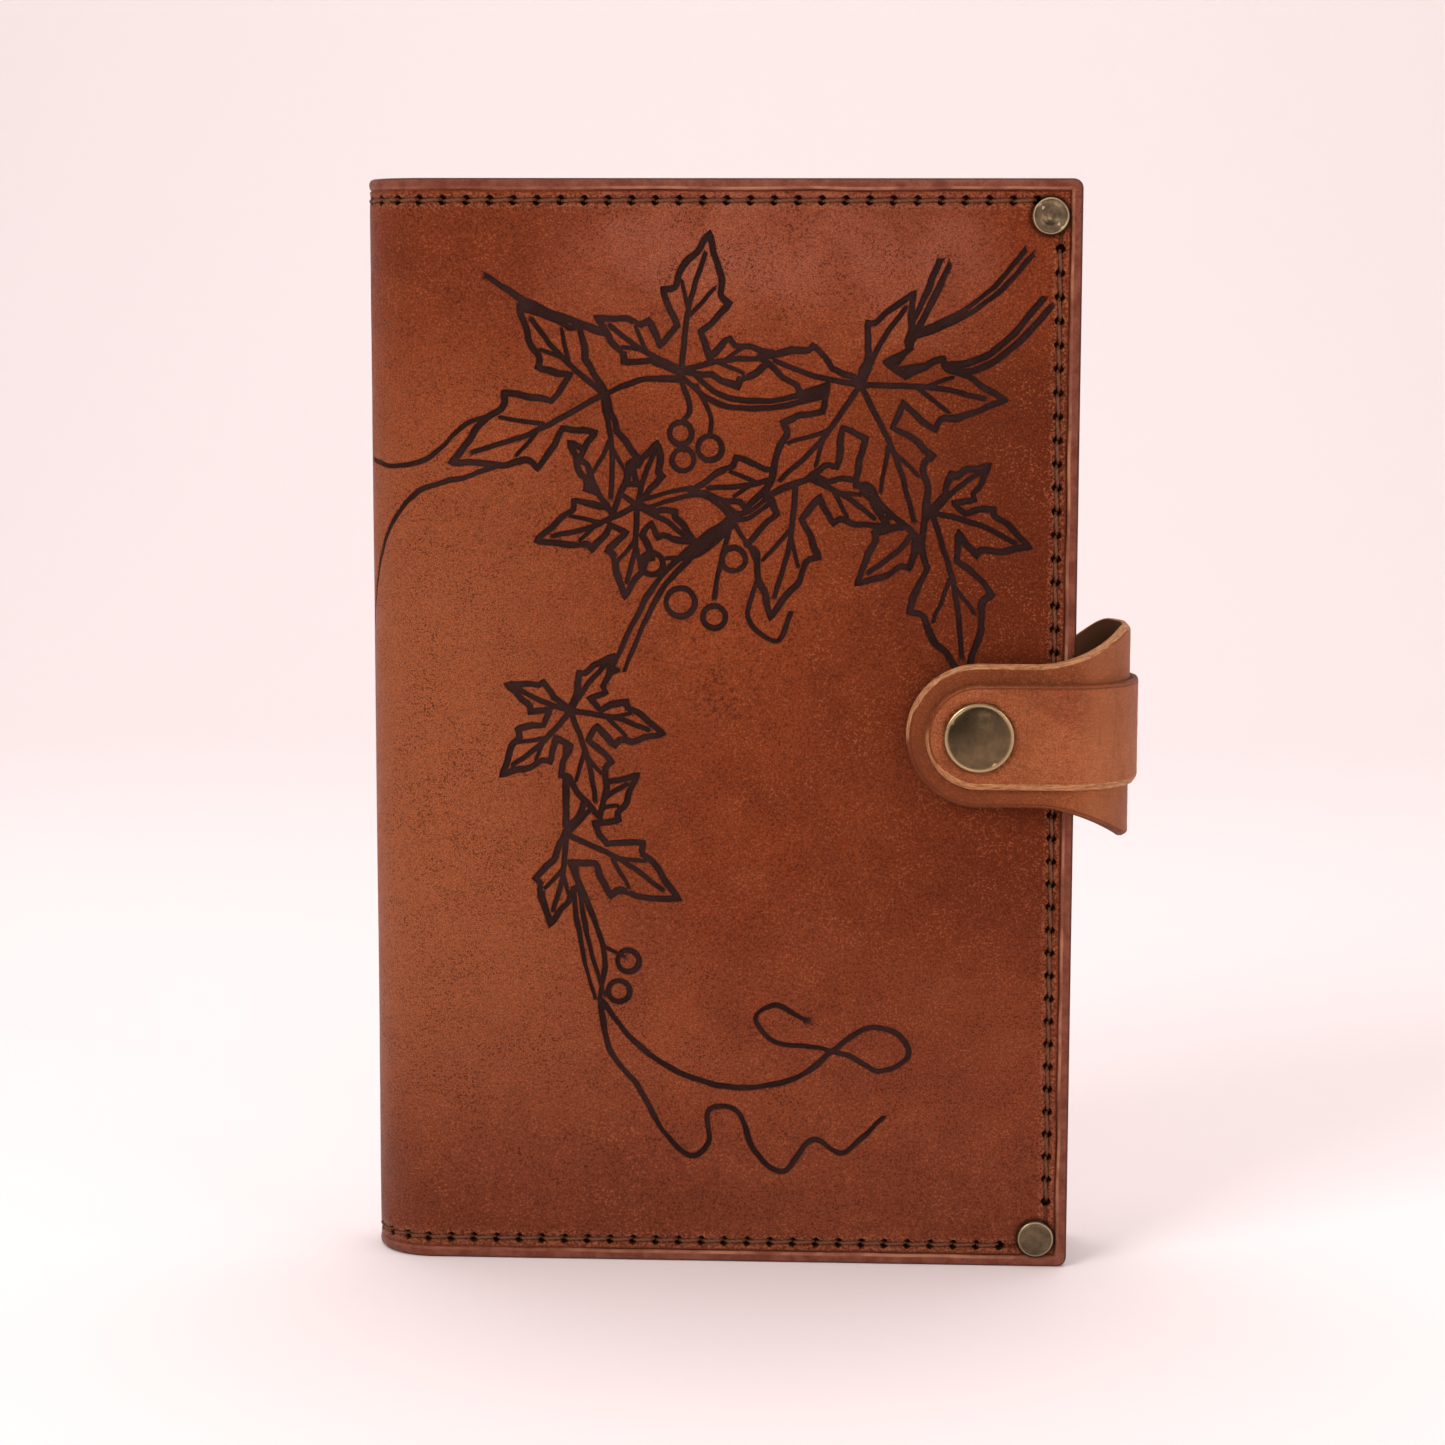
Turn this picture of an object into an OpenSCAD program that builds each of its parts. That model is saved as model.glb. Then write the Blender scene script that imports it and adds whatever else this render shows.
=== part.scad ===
// Leather notebook cover: a wrap cover with a round spine, stitched edges, riveted corners
// and a two-layer snap strap that closes round the fore-edge.
// Millimetres, +Z up. The cover stands closed on its bottom edges, front towards -Y,
// spine at -X, fore-edge at +X. Origin: centre of the whole footprint, at the bottom.

/* [Cover] */
// Height of the cover
cover_h = 228; // [200:1:250]
// Width of the closed cover, spine to fore-edge
cover_w = 148; // [130:1:170]
// Thickness of the closed cover, outer face to outer face
cover_t = 26; // [22:1:30]
// Thickness of the outer leather
leather_t = 1.8; // [1.6:0.1:2.2]
// Thickness of the lining
lining_t = 1.0; // [0.8:0.1:1.2]
// Radius of the cover's fore-edge corners
corner_r = 2; // [1.5:0.5:4]

/* [Pockets] */
// Thickness of the pocket leather
pocket_t = 1.2; // [1:0.1:1.4]
// Depth of the slot behind the raised part of a pocket
pocket_slot = 1.5; // [1.2:0.1:1.8]
// Sewn flat margin round a pocket
pocket_rim = 7; // [7:0.5:8]
// How far a pocket's open edge stands from the spine
pocket_from_spine = 30; // [20:1:60]

/* [Stitching] */
// Distance of the stitch line from the edge
stitch_margin = 4.5; // [4:0.1:5]
// Wanted distance between stitch holes
stitch_pitch = 4.9; // [4.5:0.1:6]
// Width of the thread
thread_w = 0.9; // [0.7:0.1:1]

/* [Rivets] */
// Radius of a rivet cap
rivet_r = 3.8; // [3.4:0.1:4]
// Distance of a rivet from the fore-edge
rivet_inset = 6.6; // [6.2:0.1:7]

/* [Strap] */
// Half the width of the wide strap layer at its end
wide_half = 15; // [13:0.5:17]
// Half the width of the wide strap layer where it passes the fore-edge
flare_half = 22.2; // [18:0.1:24]
// Half the width of the narrow strap layer
narrow_half = 11; // [10:0.5:12]
// Thickness of each strap layer
strap_t = 1.8; // [1.6:0.1:2]
// Height of the strap's middle above the bottom edge
strap_z = 114; // [90:1:140]
// Distance of the snap from the fore-edge
snap_inset = 20; // [18:0.5:24]
// Radius of the snap's cap
snap_r = 7.25; // [6.5:0.05:8]

/* [Hidden] */
$fn = 64;
spine_r = cover_t / 2;
turn = 60;
gap = 0.3;
slack = 0.1;
groove_d = 0.5;
bar_t = 0.5;
tack_proud = 0.1;
seam_in = leather_t + lining_t;
pocket_in = seam_in + pocket_t;
slot_top = seam_in + pocket_slot;
raised_r = 10;
pocket_x = spine_r + pocket_from_spine;

first_stitch = 2.4;
corner_x = cover_w - stitch_margin;
top_run = corner_x - spine_r - first_stitch;
top_n = round(top_run / stitch_pitch);
top_pitch = top_run / top_n;
side_run = cover_h - 2 * stitch_margin;
side_n = round(side_run / stitch_pitch);
side_pitch = side_run / side_n;
arc_stitch = turn / 3;

rivet_x = cover_w - rivet_inset;
rivet_low = 6.2;
rivet_high = cover_h - 7.6;
rivet_cap_t = 1.0;
rivet_base_t = 0.7;
post_r = 1.3;

strap_gap = 2.5;
front_bend_r = 14.25;
front_bend_x = cover_w - 4;
front_bend_y = front_bend_r - strap_gap;
back_bend_r = front_bend_r - (cover_w - front_bend_x);
back_bend_x = cover_w;
back_bend_y = cover_t - back_bend_r;
snap_x = cover_w - snap_inset;
flare_from = -3.5;
flare_to = 13.5;
flare_mid_r = front_bend_r + strap_t / 2;
flare_steps = 12;
strap_front = -strap_gap - 2 * strap_t;
cap_t = 2.1;
stem_r = 1.9;
stud_r = 2.2;
stud_top = 2.1;
flange_r = 6;
flange_t = 0.4;
socket_t = 1.8;
snap_base_r = 5;
snap_base_t = 0.8;
tack_x = cover_w - 9.5;
tack_step = 4;
tack_n = 4;
tack_half = narrow_half - 3;

x_max = front_bend_x + front_bend_r + 2 * strap_t;
y_min = strap_front - cap_t;
y_max = cover_t + 2 * strap_t + tack_proud;
x_mid = x_max / 2;
y_mid = (y_min + y_max) / 2;

// ---- placing ----

module placed() {
  translate([-x_mid, -y_mid, 0]) children();
}

// a front-side shape turned into its twin on the back cover
module on_back() {
  translate([0, cover_t, 0]) mirror([0, 1, 0]) children();
}

// a cylinder along +Y from a depth y
module along_y(x, y, z, r, h) {
  translate([x, y, z]) rotate([-90, 0, 0]) cylinder(r = r, h = h);
}

// ---- flat panels ----

// an upright plate with its two fore-edge corners rounded
module plate(x_from, x_to, z_from, z_to, y_from, t, r) {
  translate([x_from, y_from, z_from]) cube([x_to - x_from - r, t, z_to - z_from]);
  translate([x_from, y_from, z_from + r])
    cube([x_to - x_from, t, z_to - z_from - 2 * r]);
  for (z = [z_from + r, z_to - r]) along_y(x_to - r, y_from, z, r, t);
}

function rivet_clear(x, z) =
  min(norm([x - rivet_x, z - rivet_low]), norm([x - rivet_x, z - rivet_high]))
  > rivet_r + thread_w;

function inner_face(x) = x + top_pitch > pocket_x ? pocket_in : seam_in;

function top_x(i) = corner_x - i * top_pitch;
function side_z(j) = stitch_margin + j * side_pitch;

module stitch_hole(x, z, w, y_to) {
  translate([x - w / 2, groove_d - slack, z - w / 2]) cube([w, y_to - groove_d + slack, w]);
}

// square holes for the thread, through every layer
module stitch_holes(w, y_to) {
  for (z = [stitch_margin, cover_h - stitch_margin])
    for (i = [0:top_n])
      if (rivet_clear(top_x(i), z)) stitch_hole(top_x(i), z, w, y_to);
  for (j = [1:side_n - 1])
    if (rivet_clear(corner_x, side_z(j))) stitch_hole(corner_x, side_z(j), w, y_to);
}

// the sunk line that the outer stitches lie in
module stitch_groove() {
  w = thread_w + slack;
  for (z = [stitch_margin, cover_h - stitch_margin])
    translate([spine_r - 1, -1, z - w / 2])
      cube([corner_x - spine_r + 1 + w / 2, 1 + groove_d, w]);
  translate([corner_x - w / 2, -1, stitch_margin])
    cube([w, 1 + groove_d, side_run]);
}

module rivet_holes(y_to) {
  for (z = [rivet_low, rivet_high])
    along_y(rivet_x, -1, z, post_r + slack, y_to + 1);
}

module panel() {
  difference() {
    plate(spine_r + gap / 2, cover_w, 0, cover_h, 0, leather_t, corner_r);
    stitch_groove();
    stitch_holes(thread_w + slack, leather_t + 1);
    rivet_holes(leather_t + 1);
  }
}

module lining() {
  difference() {
    plate(spine_r + gap / 2, cover_w, 0, cover_h, leather_t, lining_t, corner_r);
    stitch_holes(thread_w + slack, seam_in + 1);
    rivet_holes(seam_in + 1);
  }
}

// a sleeve sewn down on three sides, raised in the middle and open towards the spine
module pocket() {
  wall = pocket_rim + pocket_t;
  difference() {
    union() {
      plate(pocket_x, cover_w, 0, cover_h, seam_in, pocket_t, corner_r);
      plate(pocket_x, cover_w - pocket_rim, pocket_rim, cover_h - pocket_rim,
        seam_in, pocket_slot + pocket_t, raised_r);
    }
    plate(pocket_x - 1, cover_w - wall, wall, cover_h - wall,
      seam_in - 1, pocket_slot + 1, raised_r - pocket_t);
    stitch_holes(thread_w + slack, pocket_in + 1);
    rivet_holes(pocket_in + 1);
  }
}

// ---- stitches ----

module leg(x, z, y_to) {
  translate([x - thread_w / 2, groove_d - bar_t, z - thread_w / 2])
    cube([thread_w, y_to + 2 * bar_t - groove_d, thread_w]);
}

// one stitch from a hole to the next, outside and inside
module stitch_pair(x, z, along_x, length, y_in) {
  size = along_x ? [length + thread_w, bar_t, thread_w]
    : [thread_w, bar_t, length + thread_w];
  for (y = [groove_d - bar_t, y_in])
    translate([x - thread_w / 2, y, z - thread_w / 2]) cube(size);
}

module edge_stitching() {
  for (z = [stitch_margin, cover_h - stitch_margin]) {
    for (i = [0:top_n])
      if (rivet_clear(top_x(i), z)) leg(top_x(i), z, inner_face(top_x(i)));
    for (i = [1:top_n])
      if (rivet_clear(top_x(i), z) && rivet_clear(top_x(i - 1), z))
        stitch_pair(top_x(i), z, true, top_pitch, inner_face(top_x(i)));
  }
  for (j = [1:side_n - 1])
    if (rivet_clear(corner_x, side_z(j))) leg(corner_x, side_z(j), pocket_in);
  for (j = [1:side_n - 2])
    if (rivet_clear(corner_x, side_z(j)) && rivet_clear(corner_x, side_z(j + 1)))
      stitch_pair(corner_x, side_z(j), false, side_pitch, pocket_in);
}

// ---- rivets ----

// a low domed cap seen from outside, with a blind hole that takes the post
module rivet_cap(z) {
  translate([rivet_x, 0, z]) rotate([90, 0, 0]) difference() {
    rotate_extrude() polygon([[0, 0], [rivet_r, 0], [rivet_r, rivet_cap_t * 0.45],
      [rivet_r * 0.9, rivet_cap_t * 0.85], [rivet_r * 0.6, rivet_cap_t], [0, rivet_cap_t]]);
    translate([0, 0, -1]) cylinder(r = post_r + slack / 2, h = 1 + rivet_cap_t / 2);
  }
}

// the inner disc with the post through the layers
module rivet_base(z) {
  along_y(rivet_x, pocket_in, z, rivet_r, rivet_base_t);
  along_y(rivet_x, -rivet_cap_t / 2, z, post_r, pocket_in + rivet_cap_t / 2 + rivet_base_t / 2);
}

module rivet_caps() {
  for (z = [rivet_low, rivet_high]) rivet_cap(z);
}

module rivet_bases() {
  for (z = [rivet_low, rivet_high]) rivet_base(z);
}

// ---- spine ----

// part of a ring about the spine's axis, between two angles from the back face
module arc(r_in, r_out, z_from, z_to, a_from, a_to) {
  reach = 2 * spine_r;
  translate([spine_r, spine_r, z_from]) intersection() {
    difference() {
      cylinder(r = r_out, h = z_to - z_from);
      translate([0, 0, -1]) cylinder(r = r_in, h = z_to - z_from + 2);
    }
    translate([0, 0, -1]) linear_extrude(z_to - z_from + 2)
      polygon([[0, 0], [-reach * sin(a_from), reach * cos(a_from)],
        [-reach * sin((a_from + a_to) / 2), reach * cos((a_from + a_to) / 2)],
        [-reach * sin(a_to), reach * cos(a_to)]]);
  }
}

trim = gap / 2 / spine_r * 180 / PI;

// square bars across the spine wall at each stitch of a turn
module arc_legs(a_from, r_from, r_to, w) {
  for (z = [stitch_margin, cover_h - stitch_margin])
    for (k = [0:2])
      translate([spine_r, spine_r, z]) rotate([0, 0, a_from + (k + 0.5) * arc_stitch])
        translate([-w / 2, r_from, -w / 2]) cube([w, r_to - r_from, w]);
}

module spine_leather(a) {
  w = thread_w + slack;
  difference() {
    arc(spine_r - leather_t, spine_r, 0, cover_h, a + trim, a + turn - trim);
    for (z = [stitch_margin, cover_h - stitch_margin])
      arc(spine_r - groove_d, spine_r + 1, z - w / 2, z + w / 2, a - 1, a + turn + 1);
    arc_legs(a, spine_r - leather_t - 1, spine_r, w);
  }
}

module spine_lining(a) {
  difference() {
    arc(spine_r - seam_in, spine_r - leather_t, 0, cover_h, a + trim, a + turn - trim);
    arc_legs(a, spine_r - seam_in - 1, spine_r, thread_w + slack);
  }
}

module spine_stitching(a) {
  a_from = a + arc_stitch / 2;
  a_to = a + turn - arc_stitch / 2;
  for (z = [stitch_margin, cover_h - stitch_margin]) {
    arc(spine_r - groove_d, spine_r, z - thread_w / 2, z + thread_w / 2, a_from, a_to);
    arc(spine_r - seam_in - bar_t, spine_r - seam_in, z - thread_w / 2, z + thread_w / 2,
      a_from, a_to);
  }
  arc_legs(a, spine_r - seam_in - bar_t / 2, spine_r - groove_d / 2, thread_w);
}

// ---- strap ----

// half width of the wide layer at a distance s past the start of the bend
function ease(t) = t <= 0 ? 0 : t >= 1 ? 1 : t * t * (3 - 2 * t);
function half_at(s) = wide_half
  + (flare_half - wide_half) * ease((s - flare_from) / (flare_to - flare_from));
function flare_x(s) = s < 0 ? front_bend_x + s
  : front_bend_x + flare_mid_r * sin(min(s / flare_mid_r * 180 / PI, 90));
quarter = flare_mid_r * PI / 2;
function flare_s(k) = flare_from + (quarter - flare_from) * k / flare_steps;

// side view of the flared wide layer, cut through the whole depth
module flare_cut(x_from) {
  up = [for (k = [0:flare_steps]) [flare_x(flare_s(k)), half_at(flare_s(k))]];
  down = [for (k = [flare_steps:-1:0]) [flare_x(flare_s(k)), -half_at(flare_s(k))]];
  outer = half_at(quarter);
  translate([0, y_max + 1, strap_z]) rotate([90, 0, 0]) linear_extrude(y_max - y_min + 2)
    polygon(concat([[x_from, wide_half]], up,
      [[x_max + 1, outer], [x_max + 1, -outer]], down, [[x_from, -wide_half]]));
}

// a strap layer's flat run: a round end about the snap, then straight to where it bends
module narrow_flat(x_bend, y_from) {
  along_y(snap_x, y_from, strap_z, narrow_half, strap_t);
  translate([snap_x, y_from, strap_z - narrow_half])
    cube([x_bend - gap / 2 - snap_x, strap_t, 2 * narrow_half]);
}

module wide_flat(x_bend, y_from) {
  intersection() {
    union() {
      along_y(snap_x, y_from, strap_z, wide_half, strap_t);
      translate([snap_x, y_from, strap_z - flare_half])
        cube([x_bend - gap / 2 - snap_x, strap_t, 2 * flare_half]);
    }
    flare_cut(snap_x - wide_half - 1);
  }
}

// a quarter of a ring about an upright axis, on its +X side
module quarter_ring(x, y, r_in, half, to_back) {
  reach = r_in + strap_t + 1;
  translate([x, y, strap_z - half]) intersection() {
    difference() {
      cylinder(r = r_in + strap_t, h = 2 * half);
      translate([0, 0, -1]) cylinder(r = r_in, h = 2 * half + 2);
    }
    translate([gap / 2, to_back ? 0 : -reach, -1]) cube([reach, reach, 2 * half + 2]);
  }
}

// a strap layer's turn round the fore-edge, standing a depth off the innermost face
module strap_turn(depth, half) {
  quarter_ring(front_bend_x, front_bend_y, front_bend_r + depth, half, false);
  quarter_ring(back_bend_x, back_bend_y, back_bend_r + depth, half, true);
  translate([front_bend_x + front_bend_r + depth, front_bend_y, strap_z - half])
    cube([strap_t, back_bend_y - front_bend_y, 2 * half]);
}

// positions of the tacking stitches that hold the strap to the back cover
module tacks(w, y_from, y_to) {
  for (s = [-1, 1])
    for (i = [0:tack_n])
      translate([tack_x - i * tack_step - w / 2, y_from, strap_z + s * tack_half - w / 2])
        cube([w, y_to - y_from, w]);
}

module tack_holes() {
  tacks(thread_w + slack, -2 * strap_t - 1, seam_in + 1);
}

// ---- parts ----

module back_panel() {
  color("#7a3b22") placed() on_back() difference() {
    panel();
    tack_holes();
  }
}

module back_lining() {
  color("#a06a44") placed() on_back() difference() {
    lining();
    tack_holes();
  }
}

module back_pocket() {
  color("#8c5030") placed() on_back() pocket();
}

module back_stitching() {
  color("#6b4630") placed() on_back() edge_stitching();
}

module back_rivet_caps() {
  color("#8f7f57") placed() on_back() rivet_caps();
}

module back_rivet_bases() {
  color("#8f7f57") placed() on_back() rivet_bases();
}

module strap_base_wide() {
  color("#a9633c") placed() on_back() difference() {
    wide_flat(back_bend_x, -strap_t);
    tack_holes();
  }
}

module strap_base_narrow() {
  color("#b57248") placed() on_back() difference() {
    narrow_flat(back_bend_x, -2 * strap_t);
    tack_holes();
  }
}

module strap_stitching() {
  color("#6b4630") placed() on_back() {
    tacks(thread_w, -2 * strap_t - tack_proud, seam_in + bar_t);
    for (s = [-1, 1])
      for (y = [-2 * strap_t - tack_proud, seam_in])
        translate([tack_x - tack_n * tack_step - thread_w / 2, y,
          strap_z + s * tack_half - thread_w / 2])
          cube([tack_n * tack_step + thread_w, y < 0 ? tack_proud : bar_t, thread_w]);
  }
}

module spine_back_leather() {
  color("#7a3b22") placed() spine_leather(0);
}

module spine_back_lining() {
  color("#a06a44") placed() spine_lining(0);
}

module spine_back_stitching() {
  color("#6b4630") placed() spine_stitching(0);
}

module spine_middle_leather() {
  color("#7a3b22") placed() spine_leather(turn);
}

module spine_middle_lining() {
  color("#a06a44") placed() spine_lining(turn);
}

module spine_middle_stitching() {
  color("#6b4630") placed() spine_stitching(turn);
}

module spine_front_leather() {
  color("#7a3b22") placed() spine_leather(2 * turn);
}

module spine_front_lining() {
  color("#a06a44") placed() spine_lining(2 * turn);
}

module spine_front_stitching() {
  color("#6b4630") placed() spine_stitching(2 * turn);
}

module front_panel() {
  color("#8a4528") placed() difference() {
    panel();
    along_y(snap_x, -1, strap_z, stem_r + slack, leather_t + 2);
  }
}

module front_lining() {
  color("#a06a44") placed() difference() {
    lining();
    along_y(snap_x, 0, strap_z, stem_r + slack, seam_in + 1);
  }
}

module front_pocket() {
  color("#8c5030") placed() pocket();
}

module front_stitching() {
  color("#6b4630") placed() edge_stitching();
}

module front_rivet_caps() {
  color("#8f7f57") placed() rivet_caps();
}

module front_rivet_bases() {
  color("#8f7f57") placed() rivet_bases();
}

// the knob on the front cover, bored to take its post
module snap_stud() {
  color("#8f7f57") placed() difference() {
    union() {
      along_y(snap_x, -flange_t, strap_z, flange_r, flange_t);
      along_y(snap_x, -stud_top, strap_z, stud_r, stud_top);
    }
    along_y(snap_x, -stud_top / 2, strap_z, post_r + slack / 2, stud_top);
  }
}

// the post that holds the knob, with its disc on the lining
module snap_post() {
  color("#8f7f57") placed() {
    along_y(snap_x, seam_in, strap_z, snap_base_r, snap_base_t);
    along_y(snap_x, -stud_top / 2, strap_z, post_r, stud_top / 2 + seam_in + snap_base_t / 2);
  }
}

module strap_bend_wide() {
  color("#a9633c") placed() intersection() {
    strap_turn(0, flare_half + 1);
    flare_cut(front_bend_x - cover_t);
  }
}

module strap_bend_narrow() {
  color("#b57248") placed() strap_turn(strap_t, narrow_half);
}

module strap_end_wide() {
  color("#a9633c") placed() difference() {
    wide_flat(front_bend_x, -strap_gap - strap_t);
    along_y(snap_x, strap_front - 1, strap_z, stem_r + slack / 2, 2 * strap_t + 2);
  }
}

module strap_end_narrow() {
  color("#b57248") placed() difference() {
    narrow_flat(front_bend_x, strap_front);
    along_y(snap_x, strap_front - 1, strap_z, stem_r + slack / 2, 2 * strap_t + 2);
  }
}

// the domed cap with its stem through both strap layers
module snap_cap() {
  color("#8f7f57") placed() translate([snap_x, strap_front, strap_z]) rotate([90, 0, 0]) {
    rotate_extrude() polygon([[0, 0], [snap_r, 0], [snap_r, cap_t * 0.3],
      [snap_r * 0.97, cap_t * 0.5], [snap_r * 0.9, cap_t * 0.62], [snap_r * 0.7, cap_t * 0.84],
      [snap_r * 0.35, cap_t * 0.97], [0, cap_t]]);
    translate([0, 0, -2 * strap_t]) cylinder(r = stem_r, h = 2 * strap_t + cap_t / 2);
  }
}

// the ring under the strap that grips the knob
module snap_socket() {
  color("#8f7f57") placed() difference() {
    along_y(snap_x, -strap_gap, strap_z, flange_r, socket_t);
    along_y(snap_x, -strap_gap - 1, strap_z, stud_r + gap, socket_t + 2);
  }
}

back_panel();
back_lining();
back_pocket();
back_stitching();
back_rivet_caps();
back_rivet_bases();
strap_base_wide();
strap_base_narrow();
strap_stitching();
spine_back_leather();
spine_back_lining();
spine_back_stitching();
spine_middle_leather();
spine_middle_lining();
spine_middle_stitching();
spine_front_leather();
spine_front_lining();
spine_front_stitching();
front_panel();
front_lining();
front_pocket();
front_stitching();
front_rivet_caps();
front_rivet_bases();
snap_stud();
snap_post();
strap_bend_wide();
strap_bend_narrow();
strap_end_wide();
strap_end_narrow();
snap_cap();
snap_socket();
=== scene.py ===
"""Looks for the leather notebook cover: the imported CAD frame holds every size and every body.

Sizes below are in millimetres unless a name says otherwise. The outer leather, the lining and their
stitches are laid out flat, as (u, z): u runs along the outer surface from the middle of the spine, positive
over the front cover and negative over the back, and z is the height. fold() wraps that sheet into place.
"""

import math

import bmesh
import bpy
import numpy as np
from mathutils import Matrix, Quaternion, Vector, noise
from mathutils.geometry import delaunay_2d_cdt
from mathutils.kdtree import KDTree


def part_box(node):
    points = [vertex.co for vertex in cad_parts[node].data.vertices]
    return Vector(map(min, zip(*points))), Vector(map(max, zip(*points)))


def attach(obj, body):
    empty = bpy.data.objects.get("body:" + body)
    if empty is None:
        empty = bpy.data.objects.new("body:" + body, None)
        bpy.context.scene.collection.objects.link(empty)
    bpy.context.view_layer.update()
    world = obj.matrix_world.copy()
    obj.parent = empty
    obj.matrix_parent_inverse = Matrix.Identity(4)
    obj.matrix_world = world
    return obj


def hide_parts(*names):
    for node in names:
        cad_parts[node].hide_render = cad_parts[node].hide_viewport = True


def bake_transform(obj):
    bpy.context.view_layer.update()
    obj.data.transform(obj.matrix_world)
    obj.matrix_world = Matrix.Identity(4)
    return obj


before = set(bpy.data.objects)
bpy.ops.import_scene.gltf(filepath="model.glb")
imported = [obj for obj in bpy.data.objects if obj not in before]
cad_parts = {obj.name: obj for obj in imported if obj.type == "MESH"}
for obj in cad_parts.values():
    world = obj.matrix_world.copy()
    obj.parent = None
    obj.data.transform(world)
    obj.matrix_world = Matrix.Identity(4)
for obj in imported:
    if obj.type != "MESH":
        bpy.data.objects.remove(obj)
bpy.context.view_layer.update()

MM = 0.001


def span(node):
    """A node's lowest and highest corners, in millimetres."""
    lo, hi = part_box(node)
    return np.array(lo) / MM, np.array(hi) / MM


# ---- sizes, read from the frame ----

PANEL_LO, PANEL_HI = span("front_panel")
HEIGHT = PANEL_HI[2]
EDGE_X = PANEL_HI[0]
LEFT_X = span("spine_middle_leather")[0][0]
FRONT_Y = PANEL_LO[1]
BACK_Y = span("back_panel")[1][1]
SPINE_R = (BACK_Y - FRONT_Y) / 2
AXIS_X, AXIS_Y = LEFT_X + SPINE_R, FRONT_Y + SPINE_R
LEATHER_T = PANEL_HI[1] - FRONT_Y
LINING_D = span("front_lining")[1][1] - FRONT_Y
RIVET_BASE_T = 0.7
POCKET_D = span("front_rivet_bases")[1][1] - FRONT_Y - RIVET_BASE_T
POCKET_RAISED_D = span("front_pocket")[1][1] - FRONT_Y
ARC_U = SPINE_R * math.pi / 2
EDGE_U = ARC_U + EDGE_X - AXIS_X
POCKET_U = ARC_U + span("front_pocket")[0][0] - AXIS_X
SEAM_U = SPINE_R * math.pi / 3
CORNER_R = 2.0
STITCH_HALF = 0.45
STITCH_MARGIN = EDGE_X - span("front_stitching")[1][0] + STITCH_HALF
STITCH_PITCH = 4.9
EDGE_STEP = 3.0

RIVETS_LO, RIVETS_HI = span("front_rivet_caps")
RIVET_R = (RIVETS_HI[0] - RIVETS_LO[0]) / 2
RIVET_X = RIVETS_HI[0] - RIVET_R
RIVET_Z = (RIVETS_LO[2] + RIVET_R, RIVETS_HI[2] - RIVET_R)
RIVET_U = ARC_U + RIVET_X - AXIS_X

CAP_LO, CAP_HI = span("snap_cap")
SNAP_X, SNAP_Z = (CAP_LO[0] + CAP_HI[0]) / 2, (CAP_LO[2] + CAP_HI[2]) / 2
SNAP_R = (CAP_HI[0] - CAP_LO[0]) / 2
WIDE_LO, WIDE_HI = span("strap_end_wide")
BEND_LO, BEND_HI = span("strap_bend_wide")
NARROW_LO, NARROW_HI = span("strap_end_narrow")
STRAP_T = NARROW_HI[1] - NARROW_LO[1]
STRAP_IN_Y = WIDE_HI[1]
JOINT_GAP = 0.15
FRONT_BEND_X = WIDE_HI[0] + JOINT_GAP
FRONT_BEND_R = BEND_HI[0] - STRAP_T - FRONT_BEND_X
BACK_BEND_X = EDGE_X
BACK_BEND_R = FRONT_BEND_R - (BACK_BEND_X - FRONT_BEND_X)
FRONT_BEND_Y = STRAP_IN_Y + FRONT_BEND_R
BACK_BEND_Y = BACK_Y - BACK_BEND_R
Q_FRONT = FRONT_BEND_R * math.pi / 2
Q_BACK = Q_FRONT + BACK_BEND_Y - FRONT_BEND_Y
Q_END = Q_BACK + BACK_BEND_R * math.pi / 2
NARROW_HALF = (NARROW_HI[2] - NARROW_LO[2]) / 2
FLARE_HALF = (BEND_HI[2] - BEND_LO[2]) / 2
WIDE_HALF = SNAP_X - WIDE_LO[0]
STRAP_MID_Q = (Q_FRONT + Q_BACK) / 2


def smooth(t):
    t = np.clip(t, 0, 1)
    return t * t * (3 - 2 * t)


def fold(u, z, d):
    """Points of the wrapped sheet at a depth d under its outer face, in millimetres."""
    u, z, d = np.broadcast_arrays(*(np.asarray(v, float) for v in (u, z, d)))
    a = np.clip(u, -ARC_U, ARC_U) / SPINE_R
    flat = np.maximum(np.abs(u) - ARC_U, 0)
    r = SPINE_R - d
    return np.stack([AXIS_X - r * np.cos(a) + flat, AXIS_Y - r * np.sin(a), z], -1)


def strap_fold(q, z, d):
    """Points of the strap, q along it from where the front bend starts, d out from its inner face."""
    q, z, d = np.broadcast_arrays(*(np.asarray(v, float) for v in (q, z, d)))
    a = np.clip(q / FRONT_BEND_R, 0, math.pi / 2)
    b = np.clip((q - Q_BACK) / BACK_BEND_R, 0, math.pi / 2)
    side = np.clip(q - Q_FRONT, 0, Q_BACK - Q_FRONT)
    before, after = np.minimum(q, 0), np.maximum(q - Q_END, 0)
    r, s = FRONT_BEND_R + d, BACK_BEND_R + d
    front = q <= Q_FRONT
    x = np.where(front, FRONT_BEND_X + before + r * np.sin(a), BACK_BEND_X + s * np.cos(b) - after)
    behind = np.where(q < Q_BACK, FRONT_BEND_Y + side, BACK_BEND_Y + s * np.sin(b))
    return np.stack([x, np.where(front, FRONT_BEND_Y - r * np.cos(a), behind), z], -1)


def flat_at(points, depth):
    """The "flat" attribute: flat points and their depth, in metres."""
    return np.column_stack([points, depth]) * MM


def circle(centre, r, count):
    """Points round a circle, the last one on the first."""
    t = np.linspace(0, 2 * math.pi, count)
    return np.asarray(centre) + r * np.stack([np.cos(t), np.sin(t)], 1)


def left_of(directions):
    """Unit vectors to the left of flat directions."""
    n = np.stack([-directions[:, 1], directions[:, 0]], 1)
    return n / np.maximum(np.linalg.norm(n, axis=1, keepdims=True), 1e-9)


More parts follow.
